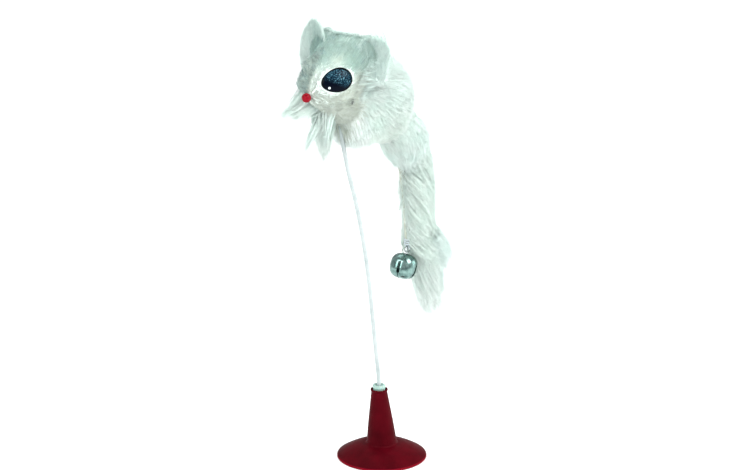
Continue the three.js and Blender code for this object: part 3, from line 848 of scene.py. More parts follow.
def hair_piece(name, lines, radius, colours, material, painted_root_shade=0.8):
    """Each hair as a closed three-sided spike with its own colour and its own place on the UV map."""
    count, points = lines.shape[:2]
    rings = points - 1
    along = unit(lines[:, -1] - lines[:, 0])
    helper = np.where(np.abs(along[:, 2:3]) > 0.9, np.array([[1.0, 0, 0]]), np.array([[0, 0, 1.0]]))
    side = unit(np.cross(along, helper))
    up = np.cross(along, side)
    radius = np.broadcast_to(np.asarray(radius, float), (count,))
    per_hair = rings * SIDES + 1
    verts = np.empty((count, per_hair, 3))
    tint = np.ones((count, per_hair, 4), np.float32)
    spot = np.empty((per_hair, 2))
    for ring in range(rings):
        size = (radius * (1 - ring / rings) ** 0.55)[:, None]
        t = ring / rings
        for corner in range(SIDES):
            turn = 2 * math.pi * corner / SIDES
            at = ring * SIDES + corner
            verts[:, at] = lines[:, ring] + size * (math.cos(turn) * side + math.sin(turn) * up)
            # Painted shade: each hair is painted darker towards its root, as where the hair above shades
            # it.
            tint[:, at, :3] = colours * (painted_root_shade + (1 - painted_root_shade) * min(1, t * 1.6))
            spot[at] = (0.3 + 0.2 * corner, 0.15 + 0.7 * t)
    verts[:, -1] = lines[:, -1]
    tint[:, -1, :3] = colours
    spot[-1] = (0.5, 0.85)

    faces = [(2, 1, 0)]
    for ring in range(rings - 1):
        for corner in range(SIDES):
            beside = (corner + 1) % SIDES
            faces.append((ring * SIDES + corner, ring * SIDES + beside,
                          (ring + 1) * SIDES + beside, (ring + 1) * SIDES + corner))
    last = (rings - 1) * SIDES
    faces += [(last + corner, last + (corner + 1) % SIDES, per_hair - 1) for corner in range(SIDES)]
    template = np.concatenate([np.array(face) for face in faces])
    sizes = np.array([len(face) for face in faces])

    loops = (template[None] + (np.arange(count) * per_hair)[:, None]).ravel().astype(np.int32)
    starts = np.concatenate([[0], np.cumsum(np.tile(sizes, count))[:-1]]).astype(np.int32)
    mesh = bpy.data.meshes.new(name)
    mesh.vertices.add(count * per_hair)
    mesh.vertices.foreach_set("co", world(verts.reshape(-1, 3)).astype(np.float32).ravel())
    mesh.loops.add(len(loops))
    mesh.loops.foreach_set("vertex_index", loops)
    mesh.polygons.add(len(starts))
    mesh.polygons.foreach_set("loop_start", starts)
    mesh.update(calc_edges=True)
    mesh.validate()
    mesh.shade_smooth()
    colour = mesh.attributes.new("tint", "FLOAT_COLOR", "POINT")
    colour.data.foreach_set("color", np.clip(tint, 0, 1).ravel())
    columns = math.ceil(math.sqrt(count))
    cell = np.stack([np.arange(count) % columns, np.arange(count) // columns], 1)
    uv = (cell[:, None] + spot[template][None]) / columns
    layer = mesh.uv_layers.new(name="OFBake")
    layer.data.foreach_set("uv", uv.astype(np.float32).ravel())
    return link_mesh(name, mesh, material)


PAINTED_BROW_HIGHLIGHT = np.array([-39.5, -6.4, 197.0])  # a painted highlight: the hair above the left eye, painted pale cream


def eye_reach(points, side):
    """How far points are from an eye's middle, as a share of its outline, and how high above it."""
    flip = np.array([1, -side, 1])
    offset = points - EYE_CENTRE * flip
    back = offset @ (EYE_BACKWARD * flip)
    tall = offset @ (EYE_UPWARD * flip)
    high = offset @ (EYE_OUTWARD * flip)
    return np.hypot(back / EYE_HALF[0], tall / EYE_HALF[1]), high


NOSE_CENTRE = np.array([-51.6, 0, 183.0])
NOSE_RADIUS, NOSE_CLEARANCE = 2.1, 2.25


def clear_lines(lines):
    """Which hairs keep off the eyes and the nose. On the right, long hair may hang over the eye."""
    good = np.ones(len(lines), bool)
    flat = lines.reshape(-1, 3)
    for side, ceiling in ((-1, 9.0), (1, 2.2)):
        share, high = eye_reach(flat, side)
        covered = (share < 1.0) & (high > -2.5) & (high < ceiling)
        good &= ~covered.reshape(lines.shape[:2]).any(1)
    good &= ~(np.linalg.norm(flat - NOSE_CENTRE, axis=1) < NOSE_CLEARANCE).reshape(lines.shape[:2]).any(1)
    return good


# From the toy to the camera. It decides which hairs are left out in front of the stem and the far
# eye, and where the mouth's line lies. No material uses it.
TO_CAMERA = unit([-0.73, -0.61, 0.29])


def before(lines, at, reach):
    """Which hairs pass within reach of a place, or cross the line from it to the camera."""
    offset = lines - at
    depth = np.maximum(offset @ TO_CAMERA, 0)
    return (np.linalg.norm(offset - depth[..., None] * TO_CAMERA, axis=-1) < reach).any(1)


def near_stem(lines, reach):
    """Which hairs would touch or cover the stem, below the throat."""
    close = np.zeros(len(lines), bool)
    for height in np.arange(150, 172, 1.2):
        close |= before(lines, stem_line.point(stem_line.reaching(height)), reach)
    return close


def smoothstep(value, low, high):
    t = np.clip((value - low) / (high - low), 0, 1)
    return t * t * (3 - 2 * t)


def body_hair(rng):
    """The long hair of the back, flanks, crown and chest."""
    count = BODY_HAIRS
    roots, normals = scatter(hide_points, hide_faces, hide_normals, count,
                             lambda c: smoothstep(c[:, 0], MASK_EDGE_X - 3, MASK_EDGE_X + 3), rng)
    x, y, z = roots.T
    hood = smoothstep(z, 189, 196) * smoothstep(x, -14, -20)
    chest = smoothstep(x, -14, -24) * smoothstep(z, 180, 168)
    belly = smoothstep(z, 166, 156) * smoothstep(x, 6, -4)
    throat = smoothstep(x, -20, -26) * smoothstep(z, 182, 176)
    rump = smoothstep(x, 2, 12) * smoothstep(z, 178, 162)
    seam = smoothstep(x, -20, -31)
    flow = np.stack([0.75 + 0 * x, 0.06 * np.sign(y), -0.42 - 0.3 * smoothstep(x, -10, 12)], 1)
    flow += hood[:, None] * np.array([-0.45, 0, 1.25])
    flow += chest[:, None] * np.array([-0.55, 0, -0.9])
    flow += belly[:, None] * np.array([0.15, 0, -0.10])
    flow += rump[:, None] * np.stack([0 * x - 0.45, -0.3 * np.sign(y), 0 * x - 0.7], 1)
    flow += (seam * (1 - hood))[:, None] * np.array([0.3, 0, 0.25])
    length = 11.5 - 5.0 * hood - 2.5 * belly + 1.2 * rump - 3.0 * seam * (1 - chest)
    length = length * rng.uniform(0.65 - 0.3 * rump, 1.12 + 0.1 * rump)
    lift = 0.26 + 0.34 * hood + 0.10 * chest - 0.08 * rump
    lines = comb_hair(roots, normals, flow, length, lift, 0.04, rng, stray=0.12)
    lines, nearest = clump_hair(lines, 0.05, 0.35, rng)
    keep = clear_lines(lines) & ~near_stem(lines, 1.5)
    shade = lock_shade(nearest, 0.035, rng)
    warm = smoothstep(z, 186, 158) * smoothstep(x, 10, -14)
    colours = WHITE * (1 - 0.6 * warm[:, None]) + CREAM * 0.6 * warm[:, None]
    # Painted shade: the front of the crown, below the ears, painted towards the green shade colour, less so
    # towards the left ear and at the top.
    shaded = smoothstep(z, 190, 197) * smoothstep(x, -14, -24) * (1 - 0.4 * smoothstep(y, -6, -13))
    shaded = shaded * (1 - 0.55 * smoothstep(z, 200.5, 203.5))
    colours = colours * (1 - 0.85 * shaded[:, None]) + 0.85 * SHADE * shaded[:, None]
    # Painted light and shade: the throat, chest and rump painted lighter, the belly darker.
    painted_lightness = 1 + 0.10 * throat + 0.06 * chest + 0.07 * rump - 0.06 * belly
    colours = np.minimum(colours * painted_lightness[:, None], BRIGHTEST)
    # Painted shade: a few hairs in the crown's painted shade are darker still, as dark strands of shade.
    shade_streak = rng.random(count) < 0.04 * shaded
    colours = np.where(shade_streak[:, None], SHADE * 0.5, colours)
    return lines[keep], (colours * shade[:, None])[keep]


MOUTH = Line([(-46.0, -3.0, 179.2), (-41.5, -4.4, 178.9), (-37.2, -5.7, 179.1), (-34.2, -7.8, 179.5),
              (-30.6, -8.2, 180.0)], 60)
MOUTH_HAIRS, CORNER_HAIRS = 60, 46
BRIDGE_PAINTED_SHADE = np.array([0.42, 0.52, 0.48])
MOUTH_CREASE_SHADE = np.array([0.24, 0.27, 0.25])
# The bit of the far eye that shows from the front.
FAR_GLINT = EYE_CENTRE * (1, -1, 1) + (EYE_OUTWARD * 2.0 + EYE_UPWARD * 1.6) * (1, -1, 1)


def mouth_hair(roots, normals, rng):
    """The mouth's crease on the left side: its shade painted as a thin dark line of hairs that lie on the
    cheek's fur.
    """
    t = np.concatenate([rng.uniform(0, 1, MOUTH_HAIRS), rng.uniform(0.94, 1.0, CORNER_HAIRS)])
    wanted = MOUTH.point(t)
    seen = (roots[:, 1] < 0) & (normals @ TO_CAMERA > 0.15)
    roots, normals = roots[seen], normals[seen]
    offset = roots[None] - wanted[:, None]
    offset -= (offset @ TO_CAMERA)[..., None] * TO_CAMERA
    nearest = np.linalg.norm(offset, axis=-1).argmin(1)
    start = wanted + ((roots[nearest] - wanted) @ TO_CAMERA)[:, None] * TO_CAMERA
    along = on_surface(MOUTH.tangent(t) + rng.normal(0, 0.12, (len(t), 3)), normals[nearest])
    down = np.array([-0.3, -0.2, -1.0]) + rng.normal(0, 0.2, (CORNER_HAIRS, 3))
    along[MOUTH_HAIRS:] = on_surface(down, normals[nearest[MOUTH_HAIRS:]])
    steps = np.array([0, 0.5, 1.0])[None, :, None] * 2.4
    rise = np.array([0.9, 1.5, 1.7])[None, :, None]
    lines = start[:, None] + along[:, None] * steps + normals[nearest][:, None] * rise
    # Painted shade: the crease drawn in dark hairs, darkest at its corner.
    faint = 1.9 - 1.1 * smoothstep(t, 0.86, 0.97)
    return lines, MOUTH_CREASE_SHADE * (faint * rng.uniform(0.75, 1.25, len(t)))[:, None]


def face_hair(rng):
    """The shorter hair of the mask, combed back from the nose."""
    count = FACE_HAIRS
    roots, normals = scatter(hide_points, hide_faces, hide_normals, count,
                             lambda c: 1 - smoothstep(c[:, 0], MASK_EDGE_X - 1, MASK_EDGE_X + 6), rng)
    x, y, z = roots.T
    back = smoothstep(x, -47, -28)
    high = smoothstep(z, 187, 195)
    share, _ = eye_reach(roots, -1)
    other, _ = eye_reach(roots, 1)
    by_eye = 1 - smoothstep(np.minimum(share, other), 1.0, 1.6)
    far = smoothstep(y, -0.5, 4.0) * smoothstep(z, 180, 186)
    snout = smoothstep(x, -38, -46) * smoothstep(y, 0.5, -2)
    brow = far * smoothstep(x, -52, -47)
    flow = unit(roots - NOSE_CENTRE) + np.array([0.5, 0, 0.0]) + high[:, None] * np.array([-0.1, 0, 0.75])
    flow += ((1 - high) * back)[:, None] * np.array([0.3, 0, -0.25])
    flow += brow[:, None] * np.array([-0.35, 0.55, 0.5])
    length = (1.7 + 5.3 * back) * (1 - 0.45 * by_eye) * rng.uniform(0.7, 1.15, count)
    length = length * (1 - brow) + brow * rng.uniform(3.0, 6.4, count)
    lift = (0.20 + 0.14 * back) * (1 - 0.5 * by_eye) * (1 - brow) + 0.62 * brow
    lines = comb_hair(roots, normals, flow, length, lift, 0.02, rng, segments=2, stray=0.13)
    lines, nearest = clump_hair(lines, 0.05, 0.2, rng)
    keep = clear_lines(lines)
    shade = lock_shade(nearest, 0.03, rng)
    top = smoothstep(z, 189.5, 195.0) * smoothstep(x, -47, -40)
    cream = 0.5 + 0.5 * smoothstep(z, 190, 182)
    colours = (WHITE * (1 - cream[:, None]) + CREAM * cream[:, None]) * (0.80 - 0.10 * snout)[:, None]
    # Painted shade: the right side of the face, which faces away from the light, painted part way to the
    # shade colour.
    colours = colours * (1 - 0.3 * far[:, None]) + 0.3 * SHADE * far[:, None]
    # Painted shade: the top of the face, under the crown, painted in the shade colour.
    colours = colours * (1 - 0.85 * top[:, None]) + 0.85 * SHADE * top[:, None]
    # Painted highlight: the hair above the left eye painted pale cream.
    brow_highlight = 0.6 * np.exp(-((roots - PAINTED_BROW_HIGHLIGHT) ** 2).sum(1) / 3.2 ** 2)
    colours = colours * (1 - brow_highlight[:, None]) + CREAM * brow_highlight[:, None]
    # Painted shade: the hair in front of and above the left eye painted darker.
    painted_shade_before_eye = np.exp(-((roots - (EYE_CENTRE - EYE_BACKWARD * 8.5)) ** 2).sum(1) / 4.5 ** 2)
    painted_shade_above_eye = np.exp(-((roots - (EYE_CENTRE + EYE_UPWARD * 6.0)) ** 2).sum(1) / 3.0 ** 2)
    colours = colours * (1 - 0.22 * painted_shade_before_eye - 0.12 * painted_shade_above_eye)[:, None]
    beside_ear = np.exp(-((roots - (-30.5, -9.0, 199.0)) ** 2).sum(1) / 3.5 ** 2)
    # Painted shade: dark strands among the hair of the right side, the top of the face and beside the left
    # ear.
    shade_streak = rng.random(count) < 0.16 * far + 0.04 * top + 0.14 * beside_ear
    colours = np.where(shade_streak[:, None], DARK * 2.4, colours)
    keep &= ~(before(lines, FAR_GLINT, 0.9) & (y > -1))
    return lines[keep], (colours * shade[:, None])[keep]


def bridge_hair(rng):
    """The hair that lies from the bridge of the nose over the far eye, painted grey as shade."""
    count = BRIDGE_HAIRS
    roots, normals = scatter(hide_points, hide_faces, hide_normals, count,
                             lambda c: smoothstep(c[:, 0], -34, -40) * smoothstep(c[:, 1], 0.5, 2.5)
                             * smoothstep(c[:, 1], 9.0, 6.5) * smoothstep(c[:, 2], 182, 185), rng)
    flow = np.tile([-0.25, 0.6, 0.5], (count, 1))
    length = rng.uniform(2.8, 5.0, count)
    lines = comb_hair(roots, normals, flow, length, 0.95, 0.0, rng, segments=2, stray=0.2)
    lines, nearest = clump_hair(lines, 0.08, 0.4, rng)
    share, high = eye_reach(lines.reshape(-1, 3), 1)
    inside = ((share < 1.0) & (high > -2.5) & (high < 1.2)).reshape(lines.shape[:2]).any(1)
    keep = ~inside & (np.linalg.norm(lines - NOSE_CENTRE, axis=-1).min(1) > 2.3)
    keep &= ~before(lines, FAR_GLINT, 0.9)
    # Painted shade: the bridge hair painted grey as shade, a quarter of it darker still.
    colours = np.where((rng.random(count) < 0.26)[:, None], DARK * 1.8, BRIDGE_PAINTED_SHADE)
    return lines[keep], (colours * lock_shade(nearest, 0.12, rng)[:, None])[keep]


def tuft(base, tip, count, width, colour, rng, bow=(0, 0, 0), segments=4, ragged=0.35):
    """A loose lock of hair: its roots spread over width, its tips drawn towards one point."""
    base = np.array(base, float)
    tip = np.array(tip, float)
    along = unit(tip - base)
    roots = rng.normal(0, 1, (count, 3))
    roots = (roots - (roots @ along)[:, None] * along) * width * 0.5
    reach = rng.uniform(1 - ragged, 1.0, count) * rng.uniform(0.85, 1.0, count)
    t = np.linspace(0, 1, segments + 1)
    travelled = t[None] * reach[:, None]
    spread = (1 - travelled) ** 0.8 * 0.9 + 0.1
    wander = rng.normal(0, 0.04 * width, (count, 3))
    line = base + (tip - base) * travelled[:, :, None]
    line = line + roots[:, None] * spread[:, :, None]
    line = line + np.array(bow) * np.sin(np.pi * travelled)[:, :, None]
    line = line + wander[:, None] * (travelled ** 1.5)[:, :, None] * 2.5
    colours = np.array(colour) * (1 + rng.normal(0, 0.05, count))[:, None]
    return line, colours


def chest_tufts(rng):
    """The loose locks under the chin, on the chest, on the far cheek and behind the left ear."""
    pale = WHITE * 0.72 + CREAM * 0.22
    # Painted shade: the locks behind the left ear painted part way to the shade colour.
    crest_in_painted_shade = WHITE * 0.72 + SHADE * 0.28
    made = [
        tuft((-36, 3, 175), (-38.4, 2.0, 147.5), 620, 6.0, pale, rng),
        tuft((-34, 1.5, 173), (-37.2, 0.8, 153.5), 480, 5.4, pale, rng),
        tuft((-36, -2, 174), (-41.5, -1.0, 157.0), 280, 3.4, WHITE, rng),
        tuft((-36, 3, 174), (-54.5, 1.5, 153.5), 220, 2.8, WHITE, rng, (1.0, 0, 2.6), ragged=0.3),
        tuft((-36, 3, 174), (-46.5, 2.5, 158.5), 280, 3.6, WHITE, rng, (0.5, 0, 1.2)),
        tuft((-42, 6, 182), (-62.5, 9.5, 173.6), 620, 5.2, pale * 1.12, rng, (0, 0, -1.6), ragged=0.5),
        tuft((-40, 5, 180), (-57.0, 6.5, 171.8), 460, 4.6, pale * 1.12, rng, (0, 0, -1.2), ragged=0.5),
        tuft((-27, -13, 198), (-12.5, -16.0, 188.0), 700, 9.0, crest_in_painted_shade, rng, (0, -1.0, 0.4), ragged=0.8),
        tuft((-23, -12, 200), (-12.5, -14.0, 191.5), 700, 9.0, crest_in_painted_shade, rng, (0, -0.6, 0.6), ragged=0.8),
    ]
    lines = np.concatenate([m[0] for m in made])
    keep = clear_lines(lines) & ~near_stem(lines, 1.35)
    return lines[keep], np.minimum(np.concatenate([m[1] for m in made])[keep], BRIGHTEST)


def make_hair():
    """The fur, as one list for the pelt and one for the mask."""
    rng = np.random.default_rng(11)
    lines, colours = body_hair(rng)
    order = np.argsort(lines[:, 0, 0])
    lines, colours = lines[order], colours[order]
    parts = 3
    on_pelt = []
    for part, (chunk, tint) in enumerate(zip(np.array_split(lines, parts), np.array_split(colours, parts))):
        on_pelt.append(hair_piece(f"body_hair_{part + 1}", chunk, rng.uniform(0.09, 0.13, len(chunk)), tint,
                                  LONG_FUR))
    lines, colours = face_hair(rng)
    seen_roots, seen_normals = scatter(hide_points, hide_faces, hide_normals, 6000,
                                       lambda c: (c[:, 0] < -24) * (c[:, 1] < 0) * 1.0, rng)
    for more_lines, more_colours in (bridge_hair(rng), mouth_hair(seen_roots, seen_normals, rng)):
        lines = np.concatenate([lines, more_lines])
        colours = np.concatenate([colours, more_colours])
    on_mask = [hair_piece("face_hair", lines, rng.uniform(0.07, 0.10, len(lines)), colours, SHORT_FUR,
                          0.95)]
    lines, colours = chest_tufts(rng)
    on_pelt.append(hair_piece("chest_hair", lines, rng.uniform(0.08, 0.12, len(lines)), colours, LONG_FUR,
                              0.95))
    for piece in on_pelt + on_mask:
        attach(piece, "mouse")
    return on_pelt, on_mask


def declare_hides(mask, pelt, on_pelt, on_mask):
    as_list(on_pelt)
    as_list(on_mask)


# ---------------------------------------------------------------- eyes and nose


def make_eye(name, node, side, material):
    """A flattened egg-shaped cap, domed in front and flatter behind."""
    flip = np.array([1, -side, 1])
    rows, columns = 22, 64
    back, up, out = EYE_BACKWARD * flip, EYE_UPWARD * flip, EYE_OUTWARD * flip
    points = []
    for row in range(rows):
        angle = -math.pi / 2 + math.pi * (row + 0.35) / (rows - 0.3)
        for column in range(columns):
            turn = 2 * math.pi * column / columns
            across = math.cos(angle)
            x = math.cos(turn) * across
            z = math.sin(turn) * across
            dome = math.sin(angle)
            thick = EYE_HALF[2] * (dome if dome > 0 else 0.7 * dome)
            points.append(EYE_CENTRE * flip + back * (EYE_HALF[0] * x)
                          + up * (EYE_HALF[1] * (1 + 0.14 * x) * z) + out * thick)
    faces = capped_grid(rows, columns)
    piece = new_piece(name, points, outward(points, faces), material, 70)
    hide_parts(node)
    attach(piece, "mouse")


def make_nose():
    rows, columns = 20, 40
    points = []
    for row in range(rows):
        angle = -math.pi / 2 + math.pi * (row + 0.4) / (rows - 0.2)
        for column in range(columns):
            turn = 2 * math.pi * column / columns
            flat = 1 - 0.06 * abs(math.sin(angle)) ** 3
            points.append(NOSE_CENTRE + np.array([
                NOSE_RADIUS * flat * math.sin(angle) * -1,
                NOSE_RADIUS * math.cos(angle) * math.cos(turn),
                NOSE_RADIUS * math.cos(angle) * math.sin(turn)]))
    faces = capped_grid(rows, columns)
    piece = new_piece("nose", points, outward(points, faces), BEAD, 70)
    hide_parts("nose_bead")
    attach(piece, "mouse")


# ---------------------------------------------------------------- ears

EAR_BASE = (-26.5, 15.0, 191.0)
EAR_HALF_THICK = 0.8
EAR_SPLAY, EAR_SLOPE = 3.4, 0.35
EAR_BEND = (0.3, 0.9)  # shares of an ear's height at which two points are found; nothing uses them


def ear_surface(side, height, half_width, point, cupping):
    """The flap under the ear's hair, cupped forwards. A higher point makes it squarer at the top."""
    rows, columns = 30, 40
    points = []
    for row in range(rows):
        v = row / (rows - 1)
        width = half_width * (1 - (0.985 * v) ** point) ** 0.6
        for column in range(columns):
            turn = 2 * math.pi * column / columns
            c, s = math.cos(turn), math.sin(turn)
            across = math.copysign(abs(c) ** 0.9, c) * width
            deep = s * min(EAR_HALF_THICK, width * 0.5) * (1.25 - 0.5 * v)
            points.append((
                EAR_BASE[0] + deep - cupping * (across / half_width) ** 2 + 1.5 * v,
                side * (EAR_BASE[1] + EAR_SPLAY * v) + across,
                EAR_BASE[2] + height * v - side * across * EAR_SLOPE * (1 - v),
            ))
    faces = []
    for row in range(rows - 1):
        for column in range(columns):
            a, b = row * columns + column, row * columns + (column + 1) % columns
            faces += [(a, b, b + columns), (a, b + columns, a + columns)]
    for first, wanted in ((0, -1), ((rows - 1) * columns, 1)):
        for column in range(1, columns - 1):
            face = (first, first + column, first + column + 1)
            faces.append(face if wanted > 0 else face[::-1])
    return np.array(points), np.array(faces)


def make_ear(node, side, height, half_width, point, cupping, seed):
    rng = np.random.default_rng(seed)
    points, faces = ear_surface(side, height, half_width, point, cupping)
    faces = np.array(outward(points, faces.tolist()))
    normals = point_normals(points, faces)
    hide = new_piece(f"{node}_hide", points, faces, HIDE, 80)
    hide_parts(node)
    count = EAR_HAIRS
    roots, hair_normals = scatter(points, faces, normals, count, lambda c: np.ones(len(c)), rng)
    share = (roots[:, 2] - EAR_BASE[2]) / height
    out = (roots[:, 1] - side * (EAR_BASE[1] + EAR_SPLAY * share)) / half_width
    flow = np.stack([0 * out + 0.05, 0.42 * out, 1 + 0 * out], 1)
    length = rng.uniform(3.2, 5.4, count) * (1 - 0.35 * smoothstep(share, 0.5, 1.0))
    lines = comb_hair(roots, hair_normals, flow, length, 0.18, 0.0, rng, stray=0.14)
    lines, nearest = clump_hair(lines, 0.05, 0.35, rng)
    shade = lock_shade(nearest, 0.035, rng)
    # Painted shade: the ear's inner, forward-facing side painted towards the shade colour; on the left ear
    # every hair gets at least half of it.
    inner = smoothstep(hair_normals[:, 0], 0.1, -0.4) * smoothstep(side * out, 0.9, -0.1)
    if side < 0:
        inner = 0.5 + 0.5 * smoothstep(side * out, 0.7, -0.6)
    colours = WHITE * (1 - 0.4 * inner[:, None]) + SHADE * 0.4 * inner[:, None]
    # Painted shade: a few dark strands on the ear's shaded inner side.
    shade_streak = rng.random(count) < 0.03 * inner
    colours = np.where(shade_streak[:, None], DARK * 2.5, colours) * shade[:, None]
    hair = hair_piece(f"{node}_hair", lines, rng.uniform(0.06, 0.09, count), colours, LONG_FUR)
    low = world((EAR_BASE[0], side * EAR_BASE[1], EAR_BASE[2] + EAR_BEND[0] * height))
    high = world((EAR_BASE[0], side * EAR_BASE[1], EAR_BASE[2] + EAR_BEND[1] * height))
    for piece in (hide, hair):
        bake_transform(piece)


# ---------------------------------------------------------------- tail

tail_joints = [joint_at(name) for name in ("tail_swing_1", "tail_sway_2", "tail_swing_3", "tail_sway_4")]
tail_low = local(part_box("tail_fur_4")[0])[2]
tail_line = Line([(12, 0, 162), *tail_joints, (34.6, 0, 72), (37.0, 0, tail_low)])
tail_heights = [joint[2] for joint in tail_joints]
tail_cuts = [162] + [(a + b) / 2 for a, b in zip(tail_heights, tail_heights[1:])] + [tail_low + 4]
BELL_CENTRE = box_centre("bell_shell")
BELL_CLEARANCE = 7.4
TAIL_BEND = 11  # above and below each hinge, at most; the points found there are not used
STRIP_WIDTH, STRIP_THICK = 3.2, 1.1
strip_line = Line([(13.6, 2.2, 147), (15.6, 2.2, 139), (18.0, 1.6, 125), (18.8, 0.8, 112), (18.6, 0, 99.4)])


def tail_radius(t):
    return 4.4 - 0.6 * t if t < 0.8 else 3.92 * (1 - ((t - 0.8) / 0.2) ** 1.3 * 0.75)


def tail_frame(t):
    """At t along the tail: its middle, and the directions to its front, to its left and along it."""
    along = tail_line.tangent(np.clip(t, 0.002, 0.998))
    middle = tail_line.point(np.clip(t, 0, 1))
    over = np.maximum(t - 1, 0)[..., None] * tail_line.length
    left = np.array([0.0, -1.0, 0.0]) + 0 * along
    front = unit(np.cross(along, left))
    front = np.where(front[..., :1] > 0, -front, front)
    return middle + along * over, front, left, along


def tail_hair_lines(t, turn, root_radius, rise, length, twist, segments=4):
    """Hairs that run down the tail and round it. turn is 0 in front and grows towards the left side."""
    steps = np.linspace(0, 1, segments + 1)
    reach = t[:, None] + steps[None] * (length / tail_line.length)[:, None]
    angle = turn[:, None] + twist[:, None] * steps[None]
    radius = root_radius[:, None] + rise[:, None] * steps[None] ** 0.55
    middle, front, left, _ = tail_frame(reach)
    out = front * np.cos(angle)[..., None] + left * np.sin(angle)[..., None]
    return middle + radius[..., None] * out


def tail_colours(t, nearest, turn, rng):
    shade = lock_shade(nearest, 0.035, rng)
    front = 0.5 + 0.5 * np.cos(turn)
    # Painted light: the tail's hair painted a little lighter overall, and lighter again towards its lower
    # end.
    colours = (WHITE * (1 - 0.3 * front[:, None]) + CREAM * 0.3 * front[:, None]) * 1.05
    return np.minimum(colours * shade[:, None] * (1 + 0.10 * smoothstep(t, 0.6, 0.85))[:, None], BRIGHTEST)


def make_tail():
    rng = np.random.default_rng(23)
    for part in range(4):
        start = tail_line.reaching(tail_cuts[part])
        end = tail_line.reaching(tail_cuts[part + 1])
        points, faces = tube(tail_line, tail_radius, start, end, 26, 36)
        hide = new_piece(f"tail_hide_{part + 1}", points, outward(points, faces), HIDE, 60)
        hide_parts(f"tail_fur_{part + 1}")
        count = int(330 * (end - start) * tail_line.length / 2.6)
        if part == 3:
            count = int(count * 0.8)
        t = rng.uniform(start - (0.1 if part == 0 else 0), end, count)
        turn = rng.uniform(0, 2 * np.pi, count)
        fade = smoothstep(t, 0.72, 1.0)
        size = np.array([tail_radius(value) for value in t])
        rise = rng.uniform(1.4, 5.2, count) * (1 - 0.4 * fade) + rng.normal(0, 0.3, count)
        length = rng.uniform(13, 21, count) * (1 - 0.35 * fade)
        twist = rng.normal(0.85, 0.12, count)
        over = int(count * 0.45) if part < 3 else 0
        if over:
            middle = tail_line.point(t[:over])
            edge = np.interp(middle[:, 2], strip_line.points[::-1, 2], strip_line.points[::-1, 0])
            covered = (middle[:, 2] > 101) & (middle[:, 2] < rng.uniform(134, 141, over))
            turn[:over] = np.where(covered, rng.uniform(-0.2, 0.9, over), turn[:over])
            size[:over] = np.where(covered, middle[:, 0] - edge + rng.uniform(0.8, 1.6, over), size[:over])
            size[:over] -= np.where(covered, 3.2 * np.maximum(turn[:over], 0), 0)
            rise[:over] = np.where(covered, rng.uniform(-2.6, 2.4, over), rise[:over])
            length[:over] = np.where(covered, rng.uniform(9, 15, over), length[:over])
            twist[:over] = np.where(covered, rng.normal(1.0, 0.15, over), twist[:over])
            beyond = covered & (rng.random(over) < 0.4)
            turn[:over] = np.where(beyond, -turn[:over], turn[:over])
            twist[:over] = np.where(beyond, -twist[:over], twist[:over])
        lines = tail_hair_lines(t, turn, size, rise, length, twist)
        lines = lines + rng.normal(0, 0.12, (count, 1, 3)) * np.linspace(0, 1, 5)[None, :, None] ** 2 * 3
        lines, nearest = clump_hair(lines, 0.05, 0.4, rng)
        keep = np.linalg.norm(lines - BELL_CENTRE, axis=-1).min(1) > BELL_CLEARANCE
        keep &= rng.random(count) > 0.7 * smoothstep(t, 0.84, 1.0)
        colours = tail_colours(t, nearest, turn, rng)
        hair = hair_piece(f"tail_hair_{part + 1}", lines[keep], rng.uniform(0.06, 0.10, keep.sum()),
                          colours[keep], LONG_FUR, 0.85)
        bend_high = min(tail_cuts[part], tail_heights[part] + TAIL_BEND)
        bend_low = max(tail_cuts[part + 1], tail_heights[part] - TAIL_BEND)
        low = world(tail_line.point(tail_line.reaching(bend_high)))
        high = world(tail_line.point(tail_line.reaching(bend_low)))
        for piece in (hide, hair):
            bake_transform(piece)
    make_flare(rng)


def make_flare(rng):
    """The lock that springs out of the tail beside the bell."""
    # Painted light: the lock's hair painted lighter than the rest, against the shade under it.
    flare_painted_light = np.minimum(WHITE * 1.1, BRIGHTEST)
    made = [
        tuft((30.5, -3, 102), (41.5, -8.5, 89.0), 620, 6.0, flare_painted_light, rng, (1.0, 0, 1.0), ragged=0.5),
        tuft((31, -3, 100), (43.6, -9.0, 85.5), 620, 6.0, flare_painted_light, rng, (1.2, 0, 0.6), ragged=0.5),
        tuft((31, -3, 97), (41.0, -7.5, 80.5), 560, 6.0, flare_painted_light, rng, (1.3, 0, 0.2), ragged=0.5),
        tuft((32, -2, 91), (39.5, -5.0, 74.0), 460, 5.0, flare_painted_light, rng, (1.2, 0, 0), ragged=0.5),
    ]
    lines = np.concatenate([m[0] for m in made])
    colours = np.concatenate([m[1] for m in made])
    piece = hair_piece("tail_flare", lines, rng.uniform(0.06, 0.09, len(lines)), colours, LONG_FUR,
                       0.95)
    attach(piece, "tail_length_3")


def ribbon(start, end, rings, twist_from, twist_to):
    """A leather ribbon along the strip's line, turning about it from one angle to the other."""
    t = np.linspace(start, end, rings)
    middle = strip_line.point(t)
    along = strip_line.tangent(t)
    turns = np.linspace(0, 2 * np.pi, 20, endpoint=False)
    angle = twist_from + (twist_to - twist_from) * (t - start) / max(end - start, 1e-9)
    side = unit(np.cross(along, [0.0, 1.0, 0.0]))
    up = np.cross(along, side)
    points = []
    for ring in range(rings):
        wide = up[ring] * math.cos(angle[ring]) + side[ring] * math.sin(angle[ring])
        thin = np.cross(along[ring], wide)
        for turn in turns:
            c, s = math.cos(turn), math.sin(turn)
            across = math.copysign(abs(c) ** 0.5, c) * STRIP_WIDTH / 2
            deep = math.copysign(abs(s) ** 0.6, s) * STRIP_THICK / 2
            points.append(middle[ring] + wide * across + thin * deep)
    return np.array(points), capped_grid(rings, len(turns))


